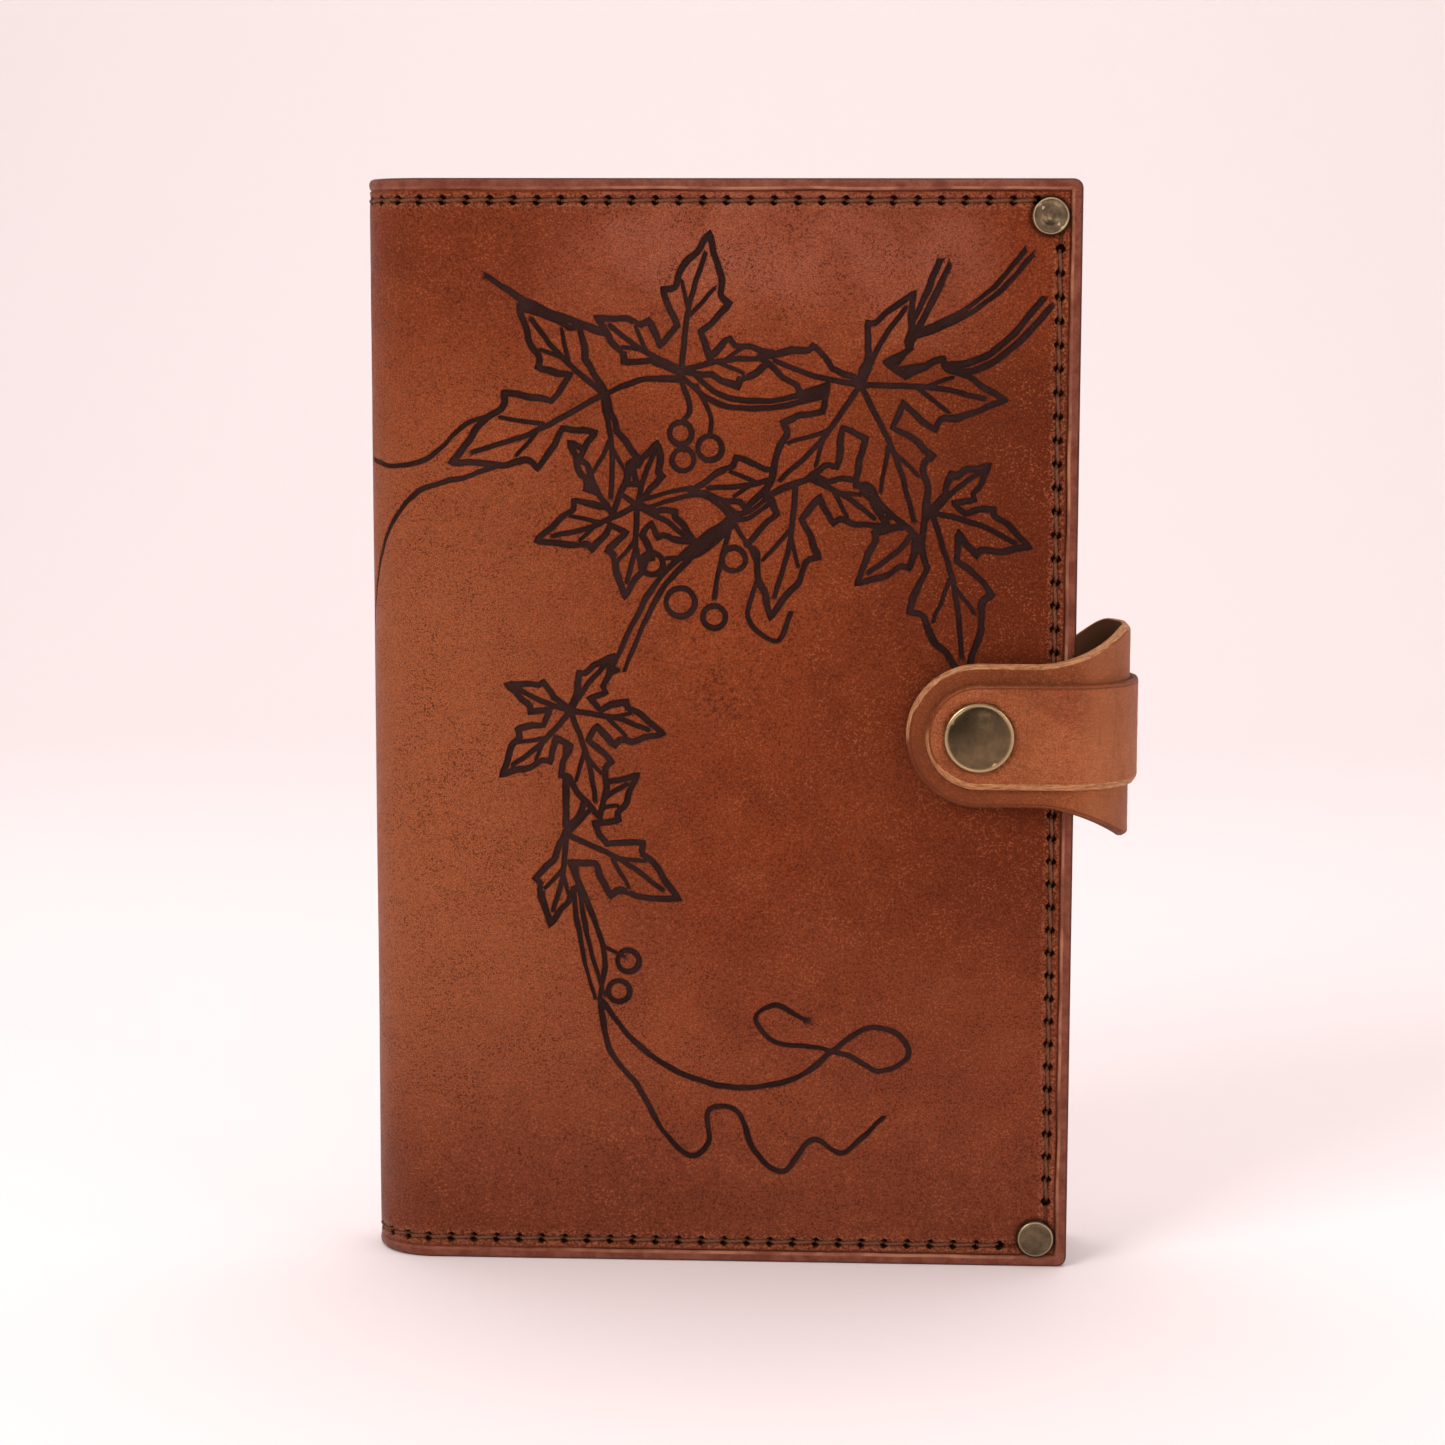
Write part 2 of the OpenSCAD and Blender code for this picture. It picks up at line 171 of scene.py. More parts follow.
def tree_of(points):
    """A search tree over flat points."""
    tree = KDTree(len(points))
    for i, (x, y) in enumerate(points):
        tree.insert((x, y, 0), i)
    tree.balance()
    return tree


def ripple(p, scale, seed):
    """Smooth noise from -1 to 1 at flat points, with features about scale millimetres across."""
    return np.array([noise.noise(Vector((x / scale, z / scale, seed))) for x, z in p])


# ---- meshes ----


def close_gaps(mesh):
    """Fill the gaps of three or four sides that very thin triangles leave in a sheet."""
    work = bmesh.new()
    work.from_mesh(mesh)
    open_edges = [e for e in work.edges if e.is_boundary]
    bmesh.ops.holes_fill(work, edges=open_edges, sides=4)
    work.to_mesh(mesh)
    work.free()


def linked(name, data):
    """A new object in the scene."""
    o = bpy.data.objects.new(name, data)
    bpy.context.scene.collection.objects.link(o)
    return o


def new_object(name, verts, faces, material, attributes=(), sharp=50):
    """A mesh object from millimetre points, with named point attributes."""
    mesh = bpy.data.meshes.new(name)
    mesh.from_pydata((np.asarray(verts) * MM).tolist(), [], faces)
    mesh.validate()
    close_gaps(mesh)
    for key, values in dict(attributes).items():
        values = np.asarray(values, float)
        kind = "FLOAT" if values.ndim == 1 else "FLOAT_VECTOR"
        data = mesh.attributes.new(key, kind, "POINT").data
        data.foreach_set("value" if values.ndim == 1 else "vector", values.ravel())
    mesh.polygons.foreach_set("use_smooth", [True] * len(mesh.polygons))
    mesh.set_sharp_from_angle(angle=math.radians(sharp))
    mesh.materials.append(material)
    return linked(name, mesh)


def skin(rings, sides):
    """Quads between neighbouring rings of points."""
    faces = []
    for k in range(rings - 1):
        low, high = k * sides, (k + 1) * sides
        for j in range(sides):
            i = (j + 1) % sides
            faces.append((low + j, low + i, high + i, high + j))
    return faces


def triangulate(points, chains, closed_outline):
    """Constrained triangles inside the first closed chain. Each chain is a list of point numbers."""
    edges = [pair for chain in chains for pair in zip(chain[:-1], chain[1:])]
    edges += zip(closed_outline, closed_outline[1:] + closed_outline[:1])
    out = delaunay_2d_cdt([Vector(p) for p in points], edges, [], 1, 1e-5)
    return np.array([tuple(v) for v in out[0]]), [tuple(f) for f in out[2]]


def inside(points, polygon):
    """Which points lie in a polygon."""
    x, y = points[:, 0], points[:, 1]
    hit = np.zeros(len(points), bool)
    a = np.asarray(polygon)
    for (x1, y1), (x2, y2) in zip(a, np.roll(a, -1, 0)):
        if y1 != y2:
            cross = (y1 > y) != (y2 > y)
            hit ^= cross & (x < (x2 - x1) * (y - y1) / (y2 - y1) + x1)
    return hit


def rim_of(faces):
    """The outline of a triangulated sheet, as one ordered loop of point numbers."""
    seen = dict.fromkeys(pair for f in faces for pair in zip(f, f[1:] + f[:1]))
    after = {a: b for a, b in seen if (b, a) not in seen}
    start = next(iter(after))
    loop, v = [start], after[start]
    while v != start:
        loop.append(v)
        v = after[v]
    return loop


def sheet_solid(outline, curves, grid, top, bottom, wall, place, is_free):
    """A closed leather sheet. top and bottom give the depth at flat points, wall is a list of
    (share of the way down, inset, edge shade) rings between them, place maps flat points and depths
    to 3-D and is_free tells a cut edge from a seam. Returns points, faces, flat coordinates, depths,
    which points are on the face and the edge shade."""
    outline = np.asarray(outline, float)
    points, chains = [tuple(p) for p in outline], []
    for c in curves:
        chains.append(list(range(len(points), len(points) + len(c))))
        points += [tuple(p) for p in c]
    grid = grid[inside(grid, outline)]
    points += [tuple(p) for p in grid]
    flat, faces = triangulate(points, chains, list(range(len(outline))))
    loop = rim_of(faces)
    m, n = len(loop), len(flat)
    rim, rim_top = flat[loop], top(flat)[loop]
    rim_low = bottom(rim)
    inward = left_of(np.roll(rim, -1, 0) - np.roll(rim, 1, 0))
    free = is_free(rim).astype(float)
    edge = np.zeros(n)
    edge[loop] = free
    all_flat, all_depth, all_edge = [flat], [top(flat)], [edge]
    last, at = list(loop), n
    for share, inset, shade in wall:
        all_flat.append(rim + inward * inset * free[:, None])
        all_depth.append(rim_top + (rim_low - rim_top) * share)
        all_edge.append(shade * free)
        ring = list(range(at, at + m))
        faces += zip(last, ring, ring[1:] + ring[:1], last[1:] + last[:1])
        last, at = ring, at + m
    under_outline = all_flat[-1]
    inner = grid[::3]
    inner = inner[inside(inner, under_outline)]
    under_points = [tuple(p) for p in np.concatenate([under_outline, inner])]
    under_flat, under = triangulate(under_points, [], list(range(m)))
    extra = under_flat[m:]
    all_flat.append(extra)
    all_depth.append(bottom(extra))
    all_edge.append(np.zeros(len(extra)))
    faces += [tuple(last[i] if i < m else at + i - m for i in reversed(f)) for f in under]
    flat, depth = np.concatenate(all_flat), np.concatenate(all_depth)
    face_side = np.arange(len(flat)) < n
    return place(flat[:, 0], flat[:, 1], depth), faces, flat, depth, face_side, np.concatenate(all_edge)


def cover_free(p):
    """Which points lie on the cover's own edges rather than on a seam between regions."""
    return (np.minimum(p[:, 1], HEIGHT - p[:, 1]) < 0.5) | (np.abs(p[:, 0]) > EDGE_U - CORNER_R - 0.5)


def strap_place(q, z, d):
    """The strap's points for depths that count inwards."""
    return strap_fold(q, z, -d) + [0, 0, SNAP_Z]


def strap_free(p):
    """Which points of a strap layer's outline don't lie on the seam at the middle of the bend."""
    return np.abs(p[:, 0] - STRAP_MID_Q) > 0.01


# ---- the flat layout of the cover ----


def inset_of(p):
    """Distance in from the cover's free edge, with its rounded fore-edge corners."""
    u, z = np.abs(p[:, 0]), p[:, 1]
    du, dz = EDGE_U - u, np.minimum(z, HEIGHT - z)
    corner = (du < CORNER_R) & (dz < CORNER_R)
    round_in = CORNER_R - np.hypot(CORNER_R - du, CORNER_R - dz)
    return np.where(corner, round_in, np.minimum(du, dz))


def line(a, b, step):
    n = max(1, int(round(math.dist(a, b) / step)))
    t = np.linspace(0, 1, n + 1)[:, None]
    return np.asarray(a, float) + (np.asarray(b, float) - np.asarray(a, float)) * t


def edge_line(u_seam, sign, inset, step):
    """The line a given distance in from the free edge, from the seam over the top, down the fore-edge
    and back along the bottom. sign is +1 on the front cover and -1 on the back."""
    r = max(CORNER_R - inset, 0.35)
    u, z0, z1 = EDGE_U - inset, inset, HEIGHT - inset
    a = np.radians(np.linspace(90, 0, 7))[1:-1]
    bow = r * np.stack([np.cos(a), np.sin(a)], 1)
    top = line((abs(u_seam), z1), (u - r, z1), step)
    side = line((u, z1 - r), (u, z0 + r), step)
    low = line((u - r, z0), (abs(u_seam), z0), step)
    corners = bow + [u - r, z1 - r], (bow * [1, -1])[::-1] + [u - r, z0 + r]
    return np.concatenate([top, corners[0], side, corners[1], low]) * [sign, 1]


def rivet_distance(p):
    """Distance to the nearest rivet's middle."""
    return np.min([np.hypot(np.abs(p[:, 0]) - RIVET_U, p[:, 1] - z) for z in RIVET_Z], 0)


def stitch_row():
    """Flat positions of every stitch hole, in order, as runs that start and end at a rivet."""
    u_edge = EDGE_U - STITCH_MARGIN
    n = round(2 * u_edge / STITCH_PITCH)
    along = np.linspace(-u_edge, u_edge, n + 1)
    m = round((HEIGHT - 2 * STITCH_MARGIN) / STITCH_PITCH)
    up = np.linspace(STITCH_MARGIN, HEIGHT - STITCH_MARGIN, m + 1)
    rows = [np.stack([along, np.full(n + 1, z)], 1) for z in (STITCH_MARGIN, HEIGHT - STITCH_MARGIN)]
    rows += [np.stack([np.full(m + 1, s * u_edge), up], 1) for s in (-1, 1)]
    return [row[rivet_distance(row) > RIVET_R + 0.2] for row in rows]


STITCH_RUNS = stitch_row()
HOLES = np.concatenate(STITCH_RUNS)


# ---- a generic vine, drawn with round numbers in millimetres on the front ----
# a runs from the spine's outermost line towards the fore-edge, and z up.

FLAT_A = ARC_U - SPINE_R
LINE_STEP = 0.7


def curve(points):
    """A smooth line through given points."""
    p = np.asarray(points, float)
    ends = np.concatenate([[2 * p[0] - p[1]], p, [2 * p[-1] - p[-2]]])
    out = []
    for i in range(1, len(ends) - 2):
        p0, p1, p2, p3 = ends[i - 1 : i + 3]
        n = max(2, int(math.dist(p1, p2) / LINE_STEP))
        t = np.linspace(0, 1, n, endpoint=False)[:, None]
        square, cube = 2 * p0 - 5 * p1 + 4 * p2 - p3, 3 * p1 - p0 - 3 * p2 + p3
        out.append(0.5 * (2 * p1 + (p2 - p0) * t + square * t**2 + cube * t**3))
    return np.concatenate(out + [p[-1:]])


def hand_drawn(p, seed, amount=0.22):
    """The small wobble of a line burnt by hand."""
    q = p.copy()
    for k in range(2):
        q[:, k] += amount * ripple(p, 3.2, seed + 7.3 * k)
    return q


def turned(offsets, direction, at):
    """Points given as (along, across) a direction in degrees, from a place."""
    c, s = math.cos(math.radians(direction)), math.sin(math.radians(direction))
    return [(at[0] + x * c - y * s, at[1] + x * s + y * c) for x, y in offsets]


def side_line(p, offset):
    """The line moved sideways, to one side."""
    return p + left_of(np.gradient(p, axis=0)) * offset[:, None]


# one side of a lobe, as shares of its length (along, across): from its root to a tooth, then to its tip
LOBE_ROOT = [(0.32, 0.09), (0.42, 0.17), (0.57, 0.26)]
LOBE_TIP = [(0.57, 0.26), (0.61, 0.18), (0.76, 0.15), (0.90, 0.07), (1.06, 0.0)]


def lobe_side(at, heading, reach, side):
    """One side of a lobe, from its root to its tip. side is -1 or +1."""
    parts = []
    for shares in (LOBE_ROOT, LOBE_TIP):
        parts.append(curve(turned([(x * reach, side * y * reach) for x, y in shares], heading, at)))
    return np.concatenate(parts)


def leaf(at, direction, size, lobes, seed):
    """A lobed leaf: its closed outline and its veins."""
    outline, veins = [], []
    for angle, length in lobes:
        heading, reach = direction + angle, size * length
        outline += [*lobe_side(at, heading, reach, -1), *lobe_side(at, heading, reach, 1)[::-1]]
        tip = turned([(0.9 * reach, 0)], heading, at)[0]
        bow = turned([(0.5 * reach, 0.04 * reach)], heading, at)[0]
        veins.append((curve([at, bow, tip]), 0.5))
        if length > 0.7:
            for side in (-1, 1):
                ends = [(0.42 * reach, 0.02 * reach), (0.66 * reach, side * 0.13 * reach)]
                veins.append((curve(turned(ends, heading, at)), 0.38))
    outline += turned([(-0.02 * size, 0)], direction, at)
    pairs = [(a, b) for a, b in zip(outline, outline[1:] + outline[:1]) if math.dist(a, b) > 0.01]
    dense = np.concatenate([line(a, b, LINE_STEP)[:-1] for a, b in pairs])
    return hand_drawn(dense, seed, 0.42), [(hand_drawn(v, seed + 3), w) for v, w in veins]


FIVE = [(-128, 0.62), (-62, 0.86), (0, 1.0), (62, 0.86), (128, 0.62)]
THREE = [(-70, 0.72), (0, 1.0), (70, 0.72)]
LONG = [(-118, 0.42), (-58, 0.60), (0, 1.0), (58, 0.60), (118, 0.42)]

# place, heading, size, lobes; the first lies on top
LEAVES = [
    ((103, 186), -68, 33, FIVE),
    ((118, 160), -78, 34, LONG),
    ((90, 168), -100, 29, THREE),
    ((66, 189), 78, 27, THREE),
    ((50, 184), 204, 33, THREE),
    ((57, 161), 200, 21, FIVE),
    ((43, 118), -75, 22, FIVE),
    ((42, 92), -30, 26, THREE),
]

# half widths at the two ends, then points
STEMS = [
    (1.2, 1.1, [(103, 186), (110, 191), (115, 200), (120, 211)]),
    (1.0, 0.9, [(113, 196), (123, 200), (131, 206), (137, 213)]),
    (1.3, 1.2, [(103, 186), (113, 189), (126, 190), (134, 195), (141, 203)]),
    (1.2, 0.9, [(103, 186), (94, 184), (84, 182), (74, 183), (66, 189)]),
    (0.9, 0.6, [(66, 189), (58, 194), (46, 198), (34, 203), (26, 208)]),
    (0.7, 0.5, [(66, 187), (58, 187), (50, 184)]),
    (0.5, 0.5, [(40, 182), (32, 180), (22, 178), (14, 171), (6, 169), (-3, 170)]),
    (0.5, 0.5, [(30, 170), (22, 167), (12, 164), (5, 157), (1, 150), (-2, 142), (-4, 136)]),
    (1.0, 0.7, [(90, 168), (84, 162), (78, 159), (70, 164), (57, 161)]),
    (1.4, 0.8, [(78, 159), (70, 153), (62, 145), (57, 136), (53, 127)]),
    (0.8, 0.6, [(53, 127), (48, 124), (43, 118)]),
    (0.7, 0.7, [(43, 118), (42, 106), (42, 92)]),
    (1.2, 0.7, [(42, 92), (44, 80), (46, 68), (49, 57)]),
    (0.6, 0.5, [(42, 88), (47, 76), (50, 66), (49, 57)]),
    (0.6, 0.5, [(49, 57), (56, 48), (66, 41), (78, 38), (90, 40), (98, 46), (105, 51), (112, 50),
                (114, 45), (108, 42), (102, 45), (94, 47), (86, 48), (82, 53), (86, 56), (92, 53)]),
    (0.6, 0.5, [(49, 57), (51, 46), (57, 38), (62, 29), (68, 23), (72, 26), (72, 33),
                (78, 33), (82, 24), (88, 20), (94, 27), (100, 24), (104, 27), (109, 32)]),
    (0.5, 0.5, [(77, 158), (82, 148), (80, 138), (86, 133), (89, 139)]),
    (0.5, 0.5, [(77, 157), (70, 151), (63, 150)]),
    (0.5, 0.5, [(76, 156), (74, 148), (73, 142)]),
    (0.5, 0.5, [(66, 187), (68, 181), (66, 178)]),
    (0.5, 0.5, [(69, 186), (72, 180), (72, 176)]),
    (0.5, 0.4, [(50, 68), (54, 66)]),
]

# centre and radius
BERRIES = [
    ((66, 176), 2.3), ((72, 173), 2.5), ((66.5, 170.5), 2.3), ((60, 149), 2.3), ((66, 141), 3.0),
    ((73, 138), 2.4), ((77, 150), 2.4), ((55, 65), 2.3), ((53, 58.5), 2.3),
]


def split_at(p, hidden):
    """The runs of a line's points that aren't hidden."""
    runs = [[]]
    for q, h in zip(p, hidden):
        if h:
            runs.append([])
        else:
            runs[-1].append(q)
    return [np.array(run) for run in runs if len(run) > 2]


def split_outside(p, polygons):
    """The parts of a line that no polygon covers."""
    hidden = np.zeros(len(p), bool)
    for polygon in polygons:
        hidden |= inside(p, polygon)
    return split_at(p, hidden)


def stroke(run, half_width, seed):
    """A burnt line whose half width wanders round the one given."""
    return run, half_width * (1 + 0.3 * ripple(run, 5, seed))


def vine():
    """Every burnt line, as (points in (u, z), half width at each point)."""
    lines, above = [], []
    for k, (at, heading, size, lobes) in enumerate(LEAVES):
        outline, veins = leaf(at, heading, size, lobes, 11.0 + 5 * k)
        closed = np.concatenate([outline, outline[:2]])
        for run in split_outside(closed, above):
            lines.append(stroke(run, 0.66, 40.0 + k))
        for v, w in veins:
            for run in split_outside(v, above):
                lines.append((run, np.linspace(w + 0.1, w, len(run))))
        above.append(outline)
    for k, (w0, w1, points) in enumerate(STEMS):
        path = curve(points)
        spread = np.linspace(0.36, 0.9, len(path)) * w0
        strokes = [side_line(path, spread), side_line(path, -spread)] if w0 >= 1 else [path]
        widths = np.linspace(w0, w1, len(path)) * (0.56 if w0 >= 1 else 1)
        for j, drawn in enumerate(strokes):
            drawn = hand_drawn(drawn, 80.0 + k + 0.4 * j)
            for run in split_outside(drawn, above):
                first = np.argmin(np.hypot(*(drawn - run[0]).T))
                lines.append(stroke(run, widths[first : first + len(run)], 60.0 + k))
    for k, (at, r) in enumerate(BERRIES):
        ring = hand_drawn(circle(at, r, int(r * 9) + 1)[:-1], 150.0 + k, 0.15)
        lines.append(stroke(np.concatenate([ring, ring[:2]]), 0.58, 140.0 + k))
    return [(p + [FLAT_A, 0], w) for p, w in lines]


VINE = vine()


# how far a burnt line's soft edge reaches out of its width, and in
BURN_OUT, BURN_IN = 0.16, 0.14
SHARES = (0, 0.25, 0.5, 0.75)
BURN_WIDTHS = [half for _, w in VINE for half in w[:-1] for _ in SHARES]
BURN_TREE = tree_of([a + (b - a) * t for p, _ in VINE for a, b in zip(p[:-1], p[1:]) for t in SHARES])


def burn_at(points):
    """How strongly each flat point is burnt, from the nearest point of any line."""
    found = [BURN_TREE.find((x, y, 0)) for x, y in points]
    depth_in = [BURN_WIDTHS[k] + BURN_OUT - away for _, k, away in found]
    return np.clip(np.array(depth_in) / (BURN_OUT + BURN_IN), 0, 1)


HOLE_TREE = tree_of(HOLES)
HOLE_TURN = 0.62
HOLE_R = 0.9


def hole_shape(du, dz):
    """Distance from a hole's middle, measured so that a hole is a turned square with soft corners."""
    c, s = math.cos(HOLE_TURN), math.sin(HOLE_TURN)
    return ((du * c + dz * s) ** 4 + (dz * c - du * s) ** 4) ** 0.25


def hole_rings(u0, u1):
    """The outlines of the awl's holes within a stretch of u."""
    way = circle((0, 0), 1, 17)
    way /= hole_shape(way[:, 0], way[:, 1])[:, None]
    rings = []
    for hole in HOLES:
        for r in (HOLE_R + 0.12, HOLE_R, HOLE_R - 0.12):
            ring = hole + r * way
            rings += split_at(ring, (ring[:, 0] < u0 + 0.05) | (ring[:, 0] > u1 - 0.05))
    return rings


def hole_distance(p):
    """Distance to the nearest stitch hole."""
    near = np.array([HOLE_TREE.find((x, y, 0))[0][:2] for x, y in p])
    return hole_shape(*(p - near).T)


# the cover's worked edge: insets of the bead's crest and of the crease behind it
BEAD_INSET = 1.25
CREASE_INSET = 2.5
GROOVE_HALF = 0.68


def outer_depth(p):
    """Depth of the outer leather's worked surface under the CAD face, with what shows on it."""
    e = inset_of(p)
    e = e + 0.2 * ripple(p, 11, 3.0) * smooth(e / 1.5)
    across = np.clip((e - BEAD_INSET) / BEAD_INSET, -1, 1)
    bead = (1 - np.sqrt(1 - across**2)) * np.where(e < BEAD_INSET, 0.9375, 0.45) * (e < CREASE_INSET)
    off_spine = 0.3 + 0.7 * smooth((np.abs(p[:, 0]) - 25) / 45)
    crease = 0.34 * smooth(1 - np.abs(e - CREASE_INSET) / 0.42) * off_spine
    band = 0.10 * smooth((e - CREASE_INSET) / 0.3) * smooth((STITCH_MARGIN + 0.4 - e) / 0.4)
    groove = smooth((GROOVE_HALF - np.abs(e - STITCH_MARGIN)) / 0.3)
    hd = hole_distance(p)
    pit = 1.2 * smooth((0.95 - hd) / 0.15)
    pull = 0.12 * np.exp(-((hd / 1.3) ** 2))
    burn = burn_at(p)
    rivet = rivet_distance(p)
    seat = 0.3 * smooth((RIVET_R + 1.6 - rivet) / 1.8)
    uneven = (0.10 * (1 + ripple(p, 38, 2.0)) + 0.03 * (1 + ripple(p, 9, 5.0))) * smooth(e / 6)
    depth = bead + crease + band + 0.3 * groove + pit + pull + 0.42 * smooth(burn) + seat + uneven
    # the last value darkens the stitch holes and a ring round each rivet head: painted shade in the holes,
    # painted shadow round the heads
    ring = 0.85 * smooth((RIVET_R + 0.7 - rivet) / 0.4)
    return depth, burn, e, groove, np.maximum(smooth((1.0 - hd) / 0.12), ring)


def region_grid(u0, u1, flat_step, arc_step):
    """Plain inner points: closer together round the spine than on the flat covers."""
    us = [u0]
    while us[-1] < u1:
        us.append(us[-1] + (arc_step if abs(us[-1] + 0.01) < ARC_U + 1 else flat_step))
    us = np.array(us[:-1])
    zs = np.arange(1.6, HEIGHT - 1.4, flat_step)
    g = np.stack(np.meshgrid(us, zs), -1).reshape(-1, 2)
    return g[(g[:, 0] > min(u0, u1) + 0.3) & (g[:, 0] < max(u0, u1) - 0.3)]


# each region's lowest and highest u, the two bodies it bends between, the u where that bend starts
# and ends, and the CAD's own stretches of the cover that it stands for
REGIONS = {
    "back": (-EDGE_U, -SEAM_U, "back_cover", "spine_back", -ARC_U - 3, -SEAM_U, ["back"]),
    "spine_rear": (-SEAM_U, 0, "spine_back", "spine_middle", -SEAM_U, 0, ["spine_back"]),
    "spine_fore": (0, SEAM_U, "spine_middle", "spine_front", 0, SEAM_U, ["spine_middle", "spine_front"]),
    "front": (SEAM_U, EDGE_U, "spine_front", "front_cover", SEAM_U, ARC_U + 3, ["front"]),
}


def bend_between(o, region):
    """Bakes the piece's place into its points. The bodies and the ends of its bend are looked up but not
    used, so nothing bends it.
    """
    a, b, u_from, u_to = REGIONS[region][2:6]
    fold(u_from, 0, 0) * MM
    fold(u_to, 0, 0) * MM
    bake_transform(o)
    return o


def region_curves(region, inset, step):
    """The line a distance in from the free edges, as open chains."""
    u0, u1 = REGIONS[region][:2]
    if region == "front":
        return [edge_line(u0, 1, inset, step)[::-1]]
    if region == "back":
        return [edge_line(u1, -1, inset, step)]
    return [line((u0, z), (u1, z), 0.9) for z in (inset, HEIGHT - inset)]


def region_outline(region):
    """A region's closed outline, with close points along its seams so that neighbours match there."""
    u0, u1 = REGIONS[region][:2]
    up = line((u1, 0), (u1, HEIGHT), 0.5)[1:-1]
    down = line((u0, HEIGHT), (u0, 0), 0.5)[1:-1]
    edges = region_curves(region, 0, EDGE_STEP)
    if region == "front":
        return np.concatenate([*edges, down])
    if region == "back":
        return np.concatenate([*edges, up])
    return np.concatenate([edges[0], up, edges[1][::-1], down])


def leather_back(p):
    """Depth of the outer leather's inner face."""
    return np.full(len(p), LEATHER_T)


def pressed(e, depth, width):
    """The hollow that the stitches press into a sheet, at distances in from the edge."""
    return depth * np.exp(-(((e - STITCH_MARGIN) / width) ** 2))


def waves(p, e, height, scale, seed):
    """Soft uneven swells, flat at the edge."""
    return height * (1 + ripple(p, scale, seed)) * smooth(e / 8)


def cover_leather(region, material):
    """The outer leather of one region, with its edge, crease, stitch channel, holes and burnt vine."""
    u0, u1 = REGIONS[region][:2]
    curves = []
    for inset in (0.06, 0.2, 0.45, 0.8, 1.25, 1.75, 2.1, 2.35, 2.6, 2.85):
        curves += region_curves(region, inset, EDGE_STEP)
    for off in (-GROOVE_HALF, -0.4, 0.4, GROOVE_HALF):
        for c in region_curves(region, STITCH_MARGIN + off, 0.6):
            curves += split_at(c, hole_distance(c) < HOLE_R + 0.25)
    curves += hole_rings(u0, u1)
    if region in ("front", "back"):
        rivets = [(math.copysign(RIVET_U, u0 + u1), z) for z in RIVET_Z]
        curves += [circle(at, RIVET_R + more, 33) for at in rivets for more in (-0.3, 0.4, 1.0, 1.6)]
    for p, w in VINE:
        for side in (-w - BURN_OUT, -w + BURN_IN, 0 * w, w - BURN_IN, w + BURN_OUT):
            q = side_line(p, side)
            curves += split_at(q, (q[:, 0] < u0 + 0.05) | (q[:, 0] > u1 - 0.05))
    facts = {}

    def top(p):
        depth, facts["burn"], facts["inset"], facts["groove"], facts["pit"] = outer_depth(p)
        return depth

    points, faces, flat, depth, side, _ = sheet_solid(
        region_outline(region), curves, region_grid(u0, u1, 2.6, 1.0), top, leather_back,
        [(0.5, 0.0, 1), (0.85, 0.05, 1), (1.0, 0.2, 1)], fold, cover_free)
    rest = np.zeros(len(flat) - int(side.sum()))
    attributes = {key: np.concatenate([values, rest]) for key, values in facts.items()}
    attributes["flat"] = flat_at(flat, depth)
    return bend_between(new_object(f"cover_leather_{region}", points, faces, material, attributes), region)


def lining_sheet(region, material):
    """The plainer sheet behind the outer leather of one region."""
    u0, u1 = REGIONS[region][:2]
    curves = []
    for inset in (0.15, 0.4, STITCH_MARGIN - 0.8, STITCH_MARGIN, STITCH_MARGIN + 0.8):
        curves += region_curves(region, inset, 2.4)

    def top(p):
        e = inset_of(p)
        hollows = 0.25 * smooth((0.4 - e) / 0.4) + pressed(e, 0.16, 0.8) + waves(p, e, 0.05, 22, 9.0)
        return LINING_D - hollows

    points, faces, flat, depth, _, _ = sheet_solid(
        region_outline(region), curves, region_grid(u0, u1, 3.2, 1.0), top,
        leather_back, [(0.6, 0.0, 1), (1.0, 0.1, 1)], fold, cover_free)
    attributes = {"flat": flat_at(flat, depth), "inset": inset_of(flat)}
    faces = [tuple(reversed(f)) for f in faces]
    return bend_between(new_object(f"lining_{region}", points, faces, material, attributes), region)


# where a pocket's sleeve starts to swell: in from its edges, and round its fore-edge corners
SWELL_INSET = 6.6
SWELL_CORNER = 17
SWELL_CORNER_R = 10.2


